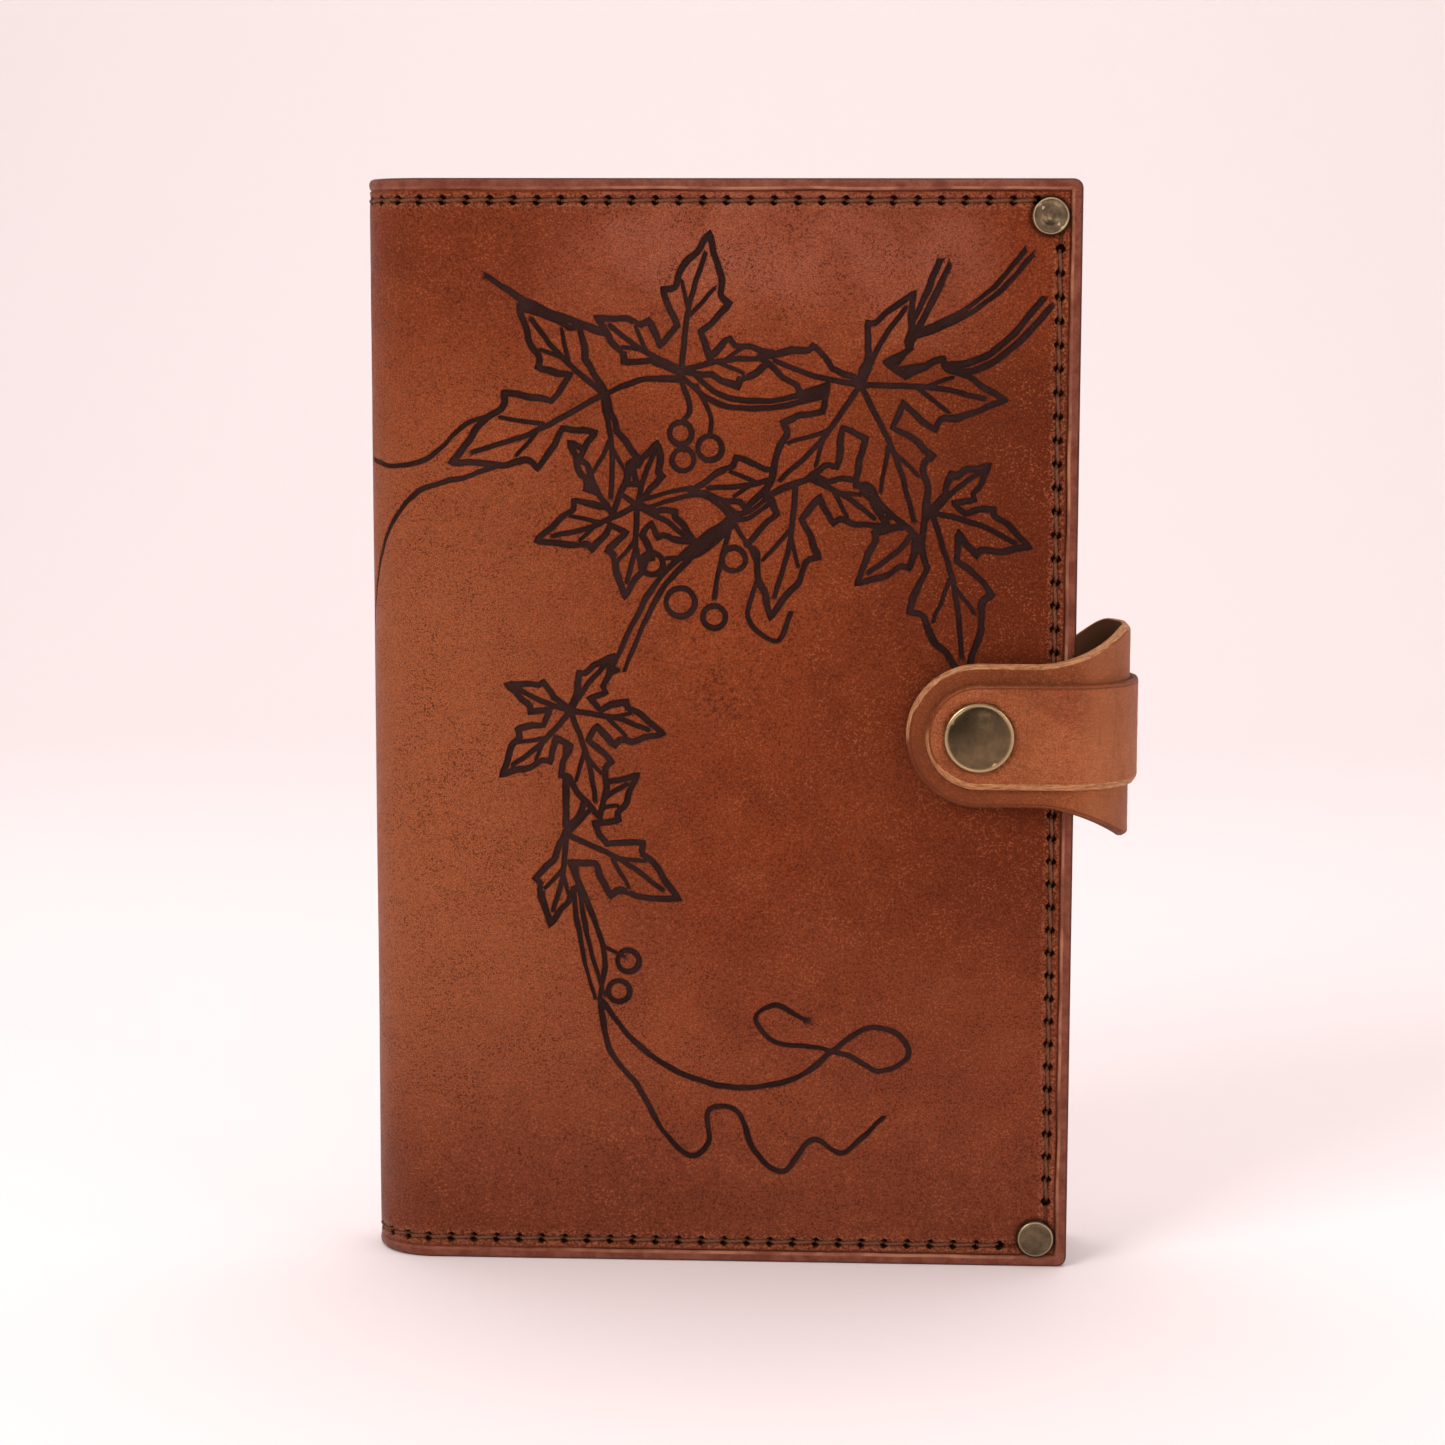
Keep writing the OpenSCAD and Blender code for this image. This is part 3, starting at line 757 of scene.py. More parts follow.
def pocket_sheet(sign, material):
    """A sleeve sewn round three sides, swelling to its slot in the middle and open towards the spine."""
    opening = line((POCKET_U, HEIGHT), (POCKET_U, 0), 2.4)[1:-1]
    outline = np.concatenate([edge_line(POCKET_U, 1, 0, EDGE_STEP)[::-1], opening])
    insets = (0.15, 0.45, 0.9, 2.1, 2.4, 2.7, STITCH_MARGIN - 0.7, STITCH_MARGIN, STITCH_MARGIN + 0.7)
    curves = [edge_line(POCKET_U, 1, inset, 2.4)[::-1] for inset in insets]
    for off in (0.2, 0.6, 2.0, 2.4, 2.8):
        curves.append(line((POCKET_U + off, 0.6), (POCKET_U + off, HEIGHT - 0.6), 2.4))
    g = region_grid(SEAM_U, EDGE_U, 2.4, 2.4)
    g = g[g[:, 0] > POCKET_U + 0.9]

    def swell(p):
        """How far the sleeve stands up over its slot, with rounded corners."""
        across = SWELL_CORNER - (EDGE_U - p[:, 0])
        up = SWELL_CORNER - np.minimum(p[:, 1], HEIGHT - p[:, 1])
        corner = np.hypot(np.maximum(across, 0), np.maximum(up, 0))
        middle = smooth((inset_of(p) - SWELL_INSET) / 3.4) * smooth((SWELL_CORNER_R - corner) / 3.2)
        return (POCKET_RAISED_D - POCKET_D) * middle

    def top(p):
        e = inset_of(p)
        o = p[:, 0] - POCKET_U
        edge = 0.3 * (smooth((0.5 - e) / 0.5) + smooth((0.5 - o) / 0.5))
        crease = np.clip(1 - np.abs(e - 2.4) / 0.35, 0, 1) + np.clip(1 - np.abs(o - 2.4) / 0.4, 0, 1)
        hollows = edge + 0.12 * crease + pressed(e, 0.2, 0.7) + waves(p, e, 0.05, 18, 4.0)
        return POCKET_D + swell(p) - hollows

    def low(p):
        return LINING_D + 0.02 + swell(p)

    def all_free(p):
        return np.ones(len(p), bool)

    points, faces, flat, depth, _, _ = sheet_solid(
        outline, curves, g, top, low, [(0.6, 0.0, 1), (1.0, 0.15, 1)], fold, all_free)
    if sign < 0:
        points = points * [1, -1, 1] + [0, FRONT_Y + BACK_Y, 0]
    else:
        faces = [tuple(reversed(f)) for f in faces]
    near_open = np.minimum(inset_of(flat), np.abs(flat[:, 0] - POCKET_U) + 0.3)
    attributes = {"flat": flat_at(flat * [sign, 1], depth), "inset": near_open}
    side = "front" if sign > 0 else "back"
    o = new_object(f"{side}_pocket_sleeve", points, faces, material, attributes)
    ridden(o, f"{side}_cover", "pocket_leather", f"{side}_pocket")


# ---- thread ----


THREAD_R = 0.41
THREAD_TWIST = 2.6
THREAD_SIDES = 9


def tube(path):
    """A two-strand thread swept along a 3-D path: points, faces and a strand shade that the material turns
    into painted shade between the strands.
    """
    tangent = np.gradient(path, axis=0)
    tangent /= np.linalg.norm(tangent, axis=1, keepdims=True)
    upright = abs(tangent[len(path) // 2][2]) >= 0.8
    up = np.array([0.97, 0.13, 0.21] if upright else [0.13, 0.21, 0.97])
    a = np.cross(tangent, up)
    a /= np.linalg.norm(a, axis=1, keepdims=True)
    b = np.cross(tangent, a)
    run = np.concatenate([[0], np.cumsum(np.linalg.norm(np.diff(path, axis=0), axis=1))])
    points, shade = [], []
    count, sides = len(path), THREAD_SIDES
    for k in range(count):
        for j in range(sides):
            t = 2 * math.pi * j / sides
            strand = abs(math.cos(t - THREAD_TWIST * run[k]))
            r = THREAD_R * (0.78 + 0.26 * strand)
            points.append(path[k] + r * (math.cos(t) * a[k] + math.sin(t) * b[k]))
            shade.append(strand)
    ends = [tuple(reversed(range(sides))), tuple(range((count - 1) * sides, count * sides))]
    return points, skin(count, sides) + ends, shade


def threads(name, paths, material):
    """One object of many threads."""
    points, faces, shade = [], [], []
    for path in paths:
        more, skins, strand = tube(path)
        faces += [tuple(len(points) + i for i in f) for f in skins]
        points += more
        shade += strand
    return new_object(name, points, faces, material, {"strand": shade}, sharp=80)


def stitch_path(p, q, sink, level, place):
    """One stitch between two holes. level is the depth its middle lies at and sink is how far each end
    dips into its hole, below 0 on the inside."""
    t = np.array([0.04, 0.10, 0.14, 0.18, 0.24, 0.36, 0.5, 0.64, 0.76, 0.82, 0.86, 0.90, 0.96])
    rise = np.array([1.0, 0.9, 0.55, 0.22, 0.04, 0, 0, 0, 0.04, 0.22, 0.55, 0.9, 1.0])
    across = left_of(np.array([q - p]))
    slant = np.interp(t, [0, 0.3, 0.7, 1], [-0.16, -0.1, 0.1, 0.16])
    flat = p + np.outer(t, q - p) + np.outer(slant, across)
    return place(flat[:, 0], flat[:, 1], level + rise * sink)


def inner_level(p, q):
    """Depth of the inside stitches: on the pocket where there is one, else on the lining."""
    on_pocket = abs(p[0] + q[0]) / 2 > POCKET_U
    return (POCKET_D if on_pocket else LINING_D) - 0.2 + THREAD_R * 0.55


def stitches(region, material):
    """The outside and inside stitches whose middle lies in one region."""
    u0, u1 = REGIONS[region][:2]
    paths = []
    for run in STITCH_RUNS:
        for p, q in zip(run[:-1], run[1:]):
            if u0 <= (p[0] + q[0]) / 2 < u1 and np.linalg.norm(q - p) < STITCH_PITCH * 1.5:
                paths.append(stitch_path(p, q, 1.0, 0.42, fold))
                paths.append(stitch_path(p, q, -0.7, inner_level(p, q), fold))
    return bend_between(threads(f"edge_stitching_{region}", paths, material), region)


# ---- turned metal ----


def rounded(points):
    """A profile with each inner corner cut to a short curve."""
    p = np.asarray(points, float)
    out = [p[0]]
    for a, b, c in zip(p[:-2], p[1:-1], p[2:]):
        s, e = b + (a - b) * 0.32, b + (c - b) * 0.32
        for t in np.linspace(0, 1, 4):
            out.append((1 - t) ** 2 * s + 2 * t * (1 - t) * b + t * t * e)
    return np.array(out + [p[-1]])


def lathe(name, profile, radius, centre, outward, material, turns=72):
    """A turned piece. profile runs from its middle outwards and round to its back, and radius scales it."""
    profile = rounded([(r * radius, h) for r, h in profile])
    rows, r_max = len(profile), profile[:, 0].max()
    t = np.linspace(0, 2 * math.pi, turns, endpoint=False)
    points, wear_and_highlight = [], []
    for r, h in profile[1:-1]:
        points += [(r * math.cos(a), h, r * math.sin(a)) for a in t]
        wear_and_highlight += [r / r_max] * turns
    points += [(0, profile[0][1], 0), (0, profile[-1][1], 0)]
    wear_and_highlight += [0, 0]
    points = np.array(points)
    points[:, 1] *= outward
    points += centre
    m = rows - 2
    faces = skin(m, turns)
    first, last = m * turns, m * turns + 1
    for j in range(turns):
        i = (j + 1) % turns
        faces.append((first, i, j))
        faces.append((last, (m - 1) * turns + j, (m - 1) * turns + i))
    if outward < 0:
        faces = [tuple(reversed(f)) for f in faces]
    return new_object(name, points, faces, material, {"rim": wear_and_highlight}, sharp=45)


def joined(name, objects):
    """Several meshes as one object."""
    bpy.ops.object.select_all(action="DESELECT")
    for o in objects:
        o.select_set(True)
    bpy.context.view_layer.objects.active = objects[0]
    bpy.ops.object.join()
    objects[0].name = name
    return objects[0]


# Profiles of the turned pieces, as (radius, height). The rivets' and the dome's radii are shares of 1.
DISHED_CAP = [(0, 0.22), (0.24, 0.28), (0.42, 0.58), (0.50, 0.80), (0.58, 0.86), (0.80, 0.80),
              (0.86, 0.76), (0.93, 0.97), (1.0, 0.6), (0.985, -0.7), (0.5, -0.8), (0, -0.8)]
DOMED_CAP = [(0, 0.9), (0.45, 0.89), (0.78, 0.86), (0.90, 0.66), (0.97, 0.56), (1.0, 0.3),
             (0.985, -0.7), (0.5, -0.8), (0, -0.8)]
RIVET_DISC = [(0, 0.34), (0.26, 0.36), (0.36, 0.58), (0.85, 0.66), (1.0, 0.5), (1.0, -0.4),
              (0.5, -0.5), (0, -0.5)]
SNAP_DOME = [(0, 2.02), (0.30, 1.95), (0.56, 1.72), (0.78, 1.36), (0.88, 1.12), (0.915, 1.0),
             (0.94, 1.05), (0.98, 0.9), (1.0, 0.6), (0.985, 0.2), (0.94, -0.05), (0.3, -0.1), (0, -0.1)]
SNAP_RING = [(0, 0.3), (2.35, 0.32), (2.5, 1.6), (2.9, 1.8), (3.6, 1.75), (3.9, 1.1), (5.2, 0.9),
             (6.0, 0.7), (6.0, 0.1), (3.0, -0.1), (0, -0.1)]
SNAP_KNOB = [(0, 1.75), (1.0, 1.8), (1.8, 2.08), (2.2, 1.7), (2.05, 1.2), (2.15, 0.55), (3.2, 0.42),
             (5.4, 0.4), (6.0, 0.2), (6.0, -0.1), (3.0, -0.1), (0, -0.1)]
SNAP_DISC = [(0, 0.5), (1.4, 0.5), (1.7, 0.72), (4.6, 0.8), (5.0, 0.5), (5.0, 0.0), (2.5, -0.1), (0, -0.1)]


# ---- strap ----

SNAP_Q = SNAP_X - FRONT_BEND_X
BACK_SNAP_Q = Q_END + BACK_BEND_X - SNAP_X
TACK_LO, TACK_HI = span("strap_stitching")
TACK_COUNT = 5
CAD_THREAD_R = 0.4
TACK_X = np.linspace(TACK_HI[0] - CAD_THREAD_R, TACK_LO[0] + CAD_THREAD_R, TACK_COUNT)
TACK_HALF = (TACK_HI[2] - TACK_LO[2]) / 2 - CAD_THREAD_R
TACK_Q = Q_END + BACK_BEND_X - TACK_X
TACKS = [np.stack([TACK_Q, np.full(TACK_COUNT, side * TACK_HALF)], 1) for side in (-1, 1)]
FLARE_FROM = -3.5
FLARE_TO = 17.5
TACK_HOLE_R = 0.72
END_DROOP = 1.1
STRAP_STEP = 1.1


def wide_half_at(q):
    """Half the wide layer's width: flared where it passes the fore-edge, and more slowly at the back."""
    t = np.clip((q - FLARE_FROM) / (FLARE_TO - FLARE_FROM), 0, 1)
    rise = t * t * (2 - t)
    fall = smooth((Q_END + 5 - q) / 14)
    return WIDE_HALF + (FLARE_HALF - WIDE_HALF) * np.minimum(rise, fall)


def narrow_half_at(q):
    """Half the narrow layer's width, the same all along."""
    return np.full(np.shape(q), NARROW_HALF)


def strap_outline(half_at, half, front):
    """A strap layer's outline between a rounded end and the seam at the middle of the bend."""
    centre = SNAP_Q if front else BACK_SNAP_Q
    t = np.radians(np.linspace(90, 270, 41) if front else np.linspace(-90, 90, 41))
    end = np.stack([centre + half * np.cos(t), half * np.sin(t)], 1)
    step = STRAP_STEP if front else -STRAP_STEP
    qs = np.append(np.arange(centre + step, STRAP_MID_Q, step), STRAP_MID_Q)
    h = half_at(qs)
    seam = line((STRAP_MID_Q, -h[-1]), (STRAP_MID_Q, h[-1]), 1.0)[1:-1]
    one = np.stack([qs, h], 1)
    if front:
        path = np.concatenate([end, np.stack([qs, -h], 1), seam, one[::-1]])
    else:
        path = np.concatenate([end, one, seam[::-1], np.stack([qs, -h], 1)[::-1]])
    return path


def strap_inset(p, half_at, half):
    """Distance in from a strap layer's long edges and round ends."""
    q, z = p[:, 0], np.abs(p[:, 1])
    side = half_at(q) - z
    front = half - np.hypot(q - SNAP_Q, z)
    back = half - np.hypot(q - BACK_SNAP_Q, z)
    return np.where(q < SNAP_Q, front, np.where(q > BACK_SNAP_Q, back, side))


def strap_layer(name, front, half_at, half, inner, material, bevels, dark_side, seed, holes=()):
    """One layer of the strap, on the front or back side of the bend. inner is its inside's height, bevels
    are what the lower and the upper cut edge add to the bevel's width, and dark_side is +1 or -1 for the
    long edge, upper or lower, whose cut is burnished rather than raw."""
    holes = np.array(holes).reshape(-1, 2)
    lower_extra, upper_extra = bevels
    outline = strap_outline(half_at, half, front)
    inward = left_of(np.roll(outline, -1, 0) - np.roll(outline, 1, 0))
    curves = []
    for inset in (0.2, 0.5, 0.85, 1.2, 1.6):
        c = (outline + inward * inset)[np.abs(outline[:, 0] - STRAP_MID_Q) > 0.6]
        start = np.argmax(np.linalg.norm(np.roll(c, 1, 0) - c, axis=1))
        curves.append(np.roll(c, -start, 0))
    curves += [circle(h, r, 13) for r in (0.75, 0.6, 0.45) for h in holes]
    along = np.arange(outline[:, 0].min() + 1, outline[:, 0].max() - 0.4, STRAP_STEP)
    across = np.arange(-21 * STRAP_STEP, FLARE_HALF + 1, STRAP_STEP)
    g = np.stack(np.meshgrid(along, across), -1).reshape(-1, 2)
    g = g[strap_inset(g, half_at, half) > 1.9]
    droop_from, droop_to = SNAP_Q - SNAP_R - 0.5, SNAP_Q - WIDE_HALF

    def droop(p):
        """How far the rounded end hangs in towards the cover."""
        return (END_DROOP if front else 0) * smooth((droop_from - p[:, 0]) / (droop_from - droop_to))

    def bevel(p):
        """The cut edge slopes: widest along the lower side, with an uneven hand-cut width."""
        lower, upper = smooth((-p[:, 1] - 3) / 6), smooth((p[:, 1] - 3) / 6)
        return 0.6 + lower_extra * lower + upper_extra * upper + 0.16 * ripple(p, 9, seed + 8)

    def pit(p):
        away = np.hypot(p[:, :1] - holes[:, 0], p[:, 1:] - holes[:, 1])
        return smooth((TACK_HOLE_R - away.min(1, initial=1)) / 0.22)

    def top(p):
        e = strap_inset(p, half_at, half)
        w = bevel(p)
        edge = 0.85 * np.clip(1 - e / w, 0, 1) ** 1.3
        rough = 0.05 * ripple(p, 1.6, seed + 1) + 0.04 * ripple(p, 7, seed + 2)
        from_cap = np.maximum(np.hypot(p[:, 0] - SNAP_Q, p[:, 1]) - SNAP_R, 0)
        press = 0.28 * np.exp(-((from_cap / 1.6) ** 2))
        return -(inner + STRAP_T) + edge + 0.05 + rough + press + droop(p) + 0.9 * pit(p)

    def low(p):
        return -(inner + 0.02) + 0.05 * ripple(p, 2.5, seed + 5) + droop(p)

    wall = [(0.33, -0.03, 1), (0.66, 0.0, 1), (1.0, 0.12, 1), (1.0, 0.5, 0)]
    points, faces, flat, depth, side, edge = sheet_solid(
        outline, curves, g, top, low, wall, strap_place, strap_free)
    e = np.maximum(strap_inset(flat, half_at, half), 0)
    raw = np.maximum(edge, np.where(side, smooth((bevel(flat) + 0.1 - e) / 0.2), 0))
    burnished = raw * smooth(dark_side * flat[:, 1] / 10 + 0.35)
    # a dark ring on the strap round the snap cap: painted shadow of the cap
    cap_shadow = smooth((SNAP_R + 0.5 - np.hypot(flat[:, 0] - SNAP_Q, flat[:, 1])) / 0.45) * (inner > 0)
    attributes = {
        "flat": flat_at(flat, depth),
        "inset": e,
        "under": ~side,
        "edge": raw - burnished,
        "burnished": burnished,
        "pit": np.maximum(pit(flat), 0.8 * cap_shadow) * side,
    }
    o = new_object(name, points, faces, material, attributes)
    body, start, end = ("strap_end", -8.5, 2.5) if front else ("back_cover", Q_END + 6.0, Q_BACK)
    strap_fold(start, 0, 0) * MM
    strap_fold(end, 0, 0) * MM
    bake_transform(o)
    return o


# ---- materials ----


class Shade:
    """A node material with short calls for the nodes used here."""

    def __init__(self, name):
        self.material = bpy.data.materials.new(name)
        self.material.use_nodes = True
        self.tree = self.material.node_tree
        self.shader = self.tree.nodes["Principled BSDF"]

    def node(self, kind, inputs=(), **settings):
        n = self.tree.nodes.new(kind)
        for key, value in settings.items():
            setattr(n, key, value)
        for key, value in dict(inputs).items():
            self.plug(n.inputs[key], value)
        return n

    def plug(self, socket, value):
        if isinstance(value, bpy.types.NodeSocket):
            self.tree.links.new(value, socket)
        else:
            socket.default_value = value

    def finish(self, **values):
        """Plugs the laid-up colour and the other values into the shader."""
        for key, value in {"Base_Color": self.colour, **values}.items():
            self.plug(self.shader.inputs[key.replace("_", " ")], value)

    def attribute(self, name, out="Fac"):
        return self.node("ShaderNodeAttribute", attribute_name=name).outputs[out]

    def noise(self, where, scale, detail=3.0, rough=0.5, bend=0.0):
        inputs = {"Vector": where, "Scale": scale, "Detail": detail, "Roughness": rough, "Distortion": bend}
        return self.node("ShaderNodeTexNoise", inputs).outputs["Fac"]

    def cells(self, where, scale):
        """Distance to the nearest wall between cells."""
        inputs = {"Vector": where, "Scale": scale}
        return self.node("ShaderNodeTexVoronoi", inputs, feature="DISTANCE_TO_EDGE").outputs["Distance"]

    def stretch(self, where, scale):
        return self.node("ShaderNodeMapping", {"Vector": where, "Scale": scale}).outputs["Vector"]

    def ramp(self, value, low, high, to_low=0.0, to_high=1.0):
        inputs = {"Value": value, "From Min": low, "From Max": high, "To Min": to_low, "To Max": to_high}
        return self.node("ShaderNodeMapRange", inputs, interpolation_type="SMOOTHSTEP").outputs["Result"]

    def math(self, operation, a, b=0.0):
        return self.node("ShaderNodeMath", {0: a, 1: b}, operation=operation).outputs[0]

    def times(self, a, b):
        return self.math("MULTIPLY", a, b)

    def between(self, value, low, start, end, high):
        """1 where a value lies from start to end, falling to 0 at low and high."""
        return self.times(self.ramp(value, low, start), self.ramp(value, high, end))

    def mix(self, factor, a, b):
        """Two colours mixed. Each is a socket or a hex code."""
        colours = [srgb(v) if isinstance(v, str) else v for v in (a, b)]
        inputs = {0: factor, 6: colours[0], 7: colours[1]}
        return self.node("ShaderNodeMix", inputs, data_type="RGBA").outputs[2]

    def coat(self, factor, over):
        """A colour laid over those before it."""
        self.colour = self.mix(factor, self.colour, over)

    def bump(self, height, strength, distance, under=None):
        inputs = {"Height": height, "Strength": strength, "Distance": distance}
        if under is not None:
            inputs["Normal"] = under
        return self.node("ShaderNodeBump", inputs).outputs["Normal"]


def srgb(code):
    """A linear colour from an sRGB hex code."""
    parts = [int(code[i : i + 2], 16) / 255 for i in (0, 2, 4)]
    return tuple(c / 12.92 if c <= 0.04045 else ((c + 0.055) / 1.055) ** 2.4 for c in parts) + (1.0,)


def leather_grain(s, where, size):
    """Pebbled grain with pores and fine creases, as a height from 0 to 1. size is a pebble in metres."""
    bent = s.node("ShaderNodeVectorMath", {0: where}, operation="ADD")
    wobble = s.node("ShaderNodeTexNoise", {"Vector": where, "Scale": 0.22 / size, "Detail": 2.0})
    small_wobble = {0: wobble.outputs["Color"], "Scale": size * 0.9}
    s.plug(bent.inputs[1], s.node("ShaderNodeVectorMath", small_wobble, operation="SCALE").outputs[0])
    pebbles = s.ramp(s.cells(bent.outputs[0], 1 / size), 0.0, 0.22)
    small = s.ramp(s.cells(bent.outputs[0], 2.3 / size), 0.0, 0.3)
    fine = s.noise(where, 3.5 / size, 2.0)
    height = s.math("ADD", s.times(pebbles, 0.5), s.times(small, 0.25))
    return s.math("ADD", height, s.times(fine, 0.35))


SCUFF_U, SCUFF_Z = FLAT_A + 75, 120


def cover_leather_material():
    """Waxed red-brown leather with a burnt-in drawing and burnished edges."""
    s = Shade("waxed_cover_leather")
    flat = s.attribute("flat", "Vector")
    u, z = (s.node("ShaderNodeSeparateXYZ", {"Vector": flat}).outputs[k] for k in (0, 1))
    out = s.math("ABSOLUTE", u)
    wide = s.noise(flat, 16, 3.0, 0.55, 0.6)
    patch = s.noise(flat, 55, 4.0, 0.6, 0.4)
    s.colour = s.mix(s.ramp(wide, 0.33, 0.68), "8b3a1a", "a04a24")
    s.coat(s.ramp(patch, 0.45, 0.75, 0, 0.5), "6f2b10")
    s.coat(s.ramp(patch, 0.28, 0.5, 0.4, 0), "9a4c2a")
    # painted highlight round the spine's middle, painted shade along the fore-edge, darker at the head and
    # foot
    spine = s.times(s.ramp(out, 0.088, 0.006), s.between(z, 0.0, 0.075, 0.125, 0.222))
    s.coat(s.times(spine, 0.72), "be6e46")
    # darker towards the fore-edge: painted shade away from the light on the left, partly a darker dye
    fore_edge = s.times(s.ramp(out, 0.0804, 0.1474), s.between(z, 0.045, 0.085, 0.185, 0.205))
    s.coat(s.times(fore_edge, 0.8), "652307")
    # pinker and greyer low down: painted reflection of the pale floor
    s.coat(s.ramp(z, 0.095, 0.035, 0, 0.14), "9a6656")
    s.coat(s.ramp(z, 0.046, 0.004, 0, 0.46), "6c3424")
    head = s.ramp(z, 0.186, 0.214)
    s.coat(s.times(head, s.ramp(out, 0.06, 0.03, 0, 0.3)), "6d2c17")
    # a pale pinkish patch across the top of the cover: painted sheen, with some dust
    dust_and_sheen = s.times(head, s.between(out, 0.035, 0.07, 0.122, 0.146))
    s.coat(s.times(dust_and_sheen, s.ramp(patch, 0.35, 0.65, 0.6, 0.25)), "b46a54")
    # the grain: dark hollows, scattered darker pores and worn light flecks
    grain = leather_grain(s, flat, 0.00042)
    speck = s.noise(flat, 2300, 1.0, 0.5)
    cluster = s.noise(flat, 120, 3.0, 0.6)
    s.coat(s.ramp(grain, 0.3, 0.66, 0.5, 0), "4f1c0c")
    pores = s.times(s.ramp(speck, 0.53, 0.68), s.ramp(cluster, 0.35, 0.7, 0.3, 0.85))
    s.coat(pores, "4a1507")
    ends = {0: flat, 1: (SCUFF_U * MM, SCUFF_Z * MM, 0)}
    away = s.node("ShaderNodeVectorMath", ends, operation="DISTANCE").outputs["Value"]
    scuff = s.times(s.ramp(away, 0.011, 0.001), s.ramp(s.noise(flat, 800, 3.0, 0.7), 0.5, 0.6))
    s.coat(s.times(scuff, 0.7), "4a1c0e")
    flecks = s.times(s.ramp(speck, 0.45, 0.3), s.ramp(cluster, 0.6, 0.35, 0.2, 0.65))
    s.coat(flecks, "b5653f")
    # the worked edge: dull bead, pale lip on its inner side (wear with a painted highlight), dark crease
    # (painted shade), scuffed stitch line
    inset = s.attribute("inset")
    worn = s.noise(flat, 70, 3.0, 0.7)
    bead = s.mix(s.ramp(s.noise(flat, 240, 4.0, 0.7), 0.35, 0.65), "743c30", "985c4a")
    s.coat(s.ramp(inset, 2.7, 2.3, 0, 0.8), bead)
    s.coat(s.ramp(inset, 0.6, 0.05), "43160f")
    marked = s.ramp(out, 0.03, 0.075, 0.25, 1.0)
    lip_wear_and_highlight = s.times(s.between(inset, 1.6, 1.9, 2.2, 2.4), s.ramp(worn, 0.38, 0.62, 0.15, 0.85))
    s.coat(s.times(lip_wear_and_highlight, marked), "cb8d6c")
    # the crease's dark line is painted shade in its groove
    crease = s.times(s.between(inset, 2.3, 2.5, 2.6, 2.95), 0.65)
    s.coat(s.times(crease, marked), "3a140c")
    rubbed = s.times(s.between(inset, 2.6, 3.3, 5.6, 6.6), s.ramp(speck, 0.56, 0.4))
    s.coat(s.times(rubbed, 0.5), "a8694c")
    s.coat(s.times(s.attribute("groove"), 0.6), "4d2013")
    burn = s.times(s.attribute("burn"), s.ramp(speck, 0.2, 0.5, 0.75, 1.0))
    scorch = s.mix(s.ramp(patch, 0.4, 0.6), "1c1216", "2e1f21")
    s.coat(s.ramp(burn, 0.1, 0.75, 0, 0.96), scorch)
    # painted shade in the stitch holes and painted shadow round the rivet heads
    s.coat(s.times(s.attribute("pit"), 0.94), "160906")
    rough = s.ramp(s.noise(flat, 90, 4.0, 0.65), 0.3, 0.7, 0.36, 0.56)
    rough = s.math("ADD", rough, s.times(burn, 0.1))
    rough = s.math("SUBTRACT", rough, s.ramp(inset, 0.9, 0.2, 0, 0.12))
    normal = s.bump(s.noise(flat, 130, 3.0), 0.35, 0.0006)
    normal = s.bump(grain, 0.9, 0.0003, normal)
    s.finish(Roughness=rough, Normal=normal, Specular_IOR_Level=0.25, Specular_Tint=srgb("ffc8a4"))
    return s.material


def inner_leather_material(name, clouds, pebble, light, dark, hollow, depth, rough, sheen):
    """Plain thin leather for the inside. clouds are its noise settings and depth its bump's."""
    s = Shade(name)
    flat = s.attribute("flat", "Vector")
    wide = s.noise(flat, *clouds)
    grain = leather_grain(s, flat, pebble)
    s.colour = s.mix(s.ramp(wide, 0.3, 0.7), light, dark)
    s.coat(s.ramp(grain, 0.25, 0.6, 0.42, 0), hollow)
    s.coat(s.ramp(s.attribute("inset"), 0.75, 0.15), "3e1c12")
    normal = s.bump(grain, *depth, s.bump(s.noise(flat, 75, 3.0), 0.2, 0.0006))
    s.finish(Roughness=s.ramp(wide, 0.3, 0.7, *rough), Normal=normal, Sheen_Weight=sheen)
    return s.material


def lining_material():
    return inner_leather_material("smooth_lining_leather", (22, 4.0, 0.6), 0.0007, "815036", "8f5d3d",
                                  "57301e", (0.4, 0.00015), (0.52, 0.66), 0.08)


def pocket_material():
    """A little redder and closer grained than the lining."""
    return inner_leather_material("pocket_leather", (18, 4.0, 0.6, 0.4), 0.0008, "7d3f25", "8a4a2d",
                                  "552413", (0.5, 0.0002), (0.45, 0.6), 0.06)


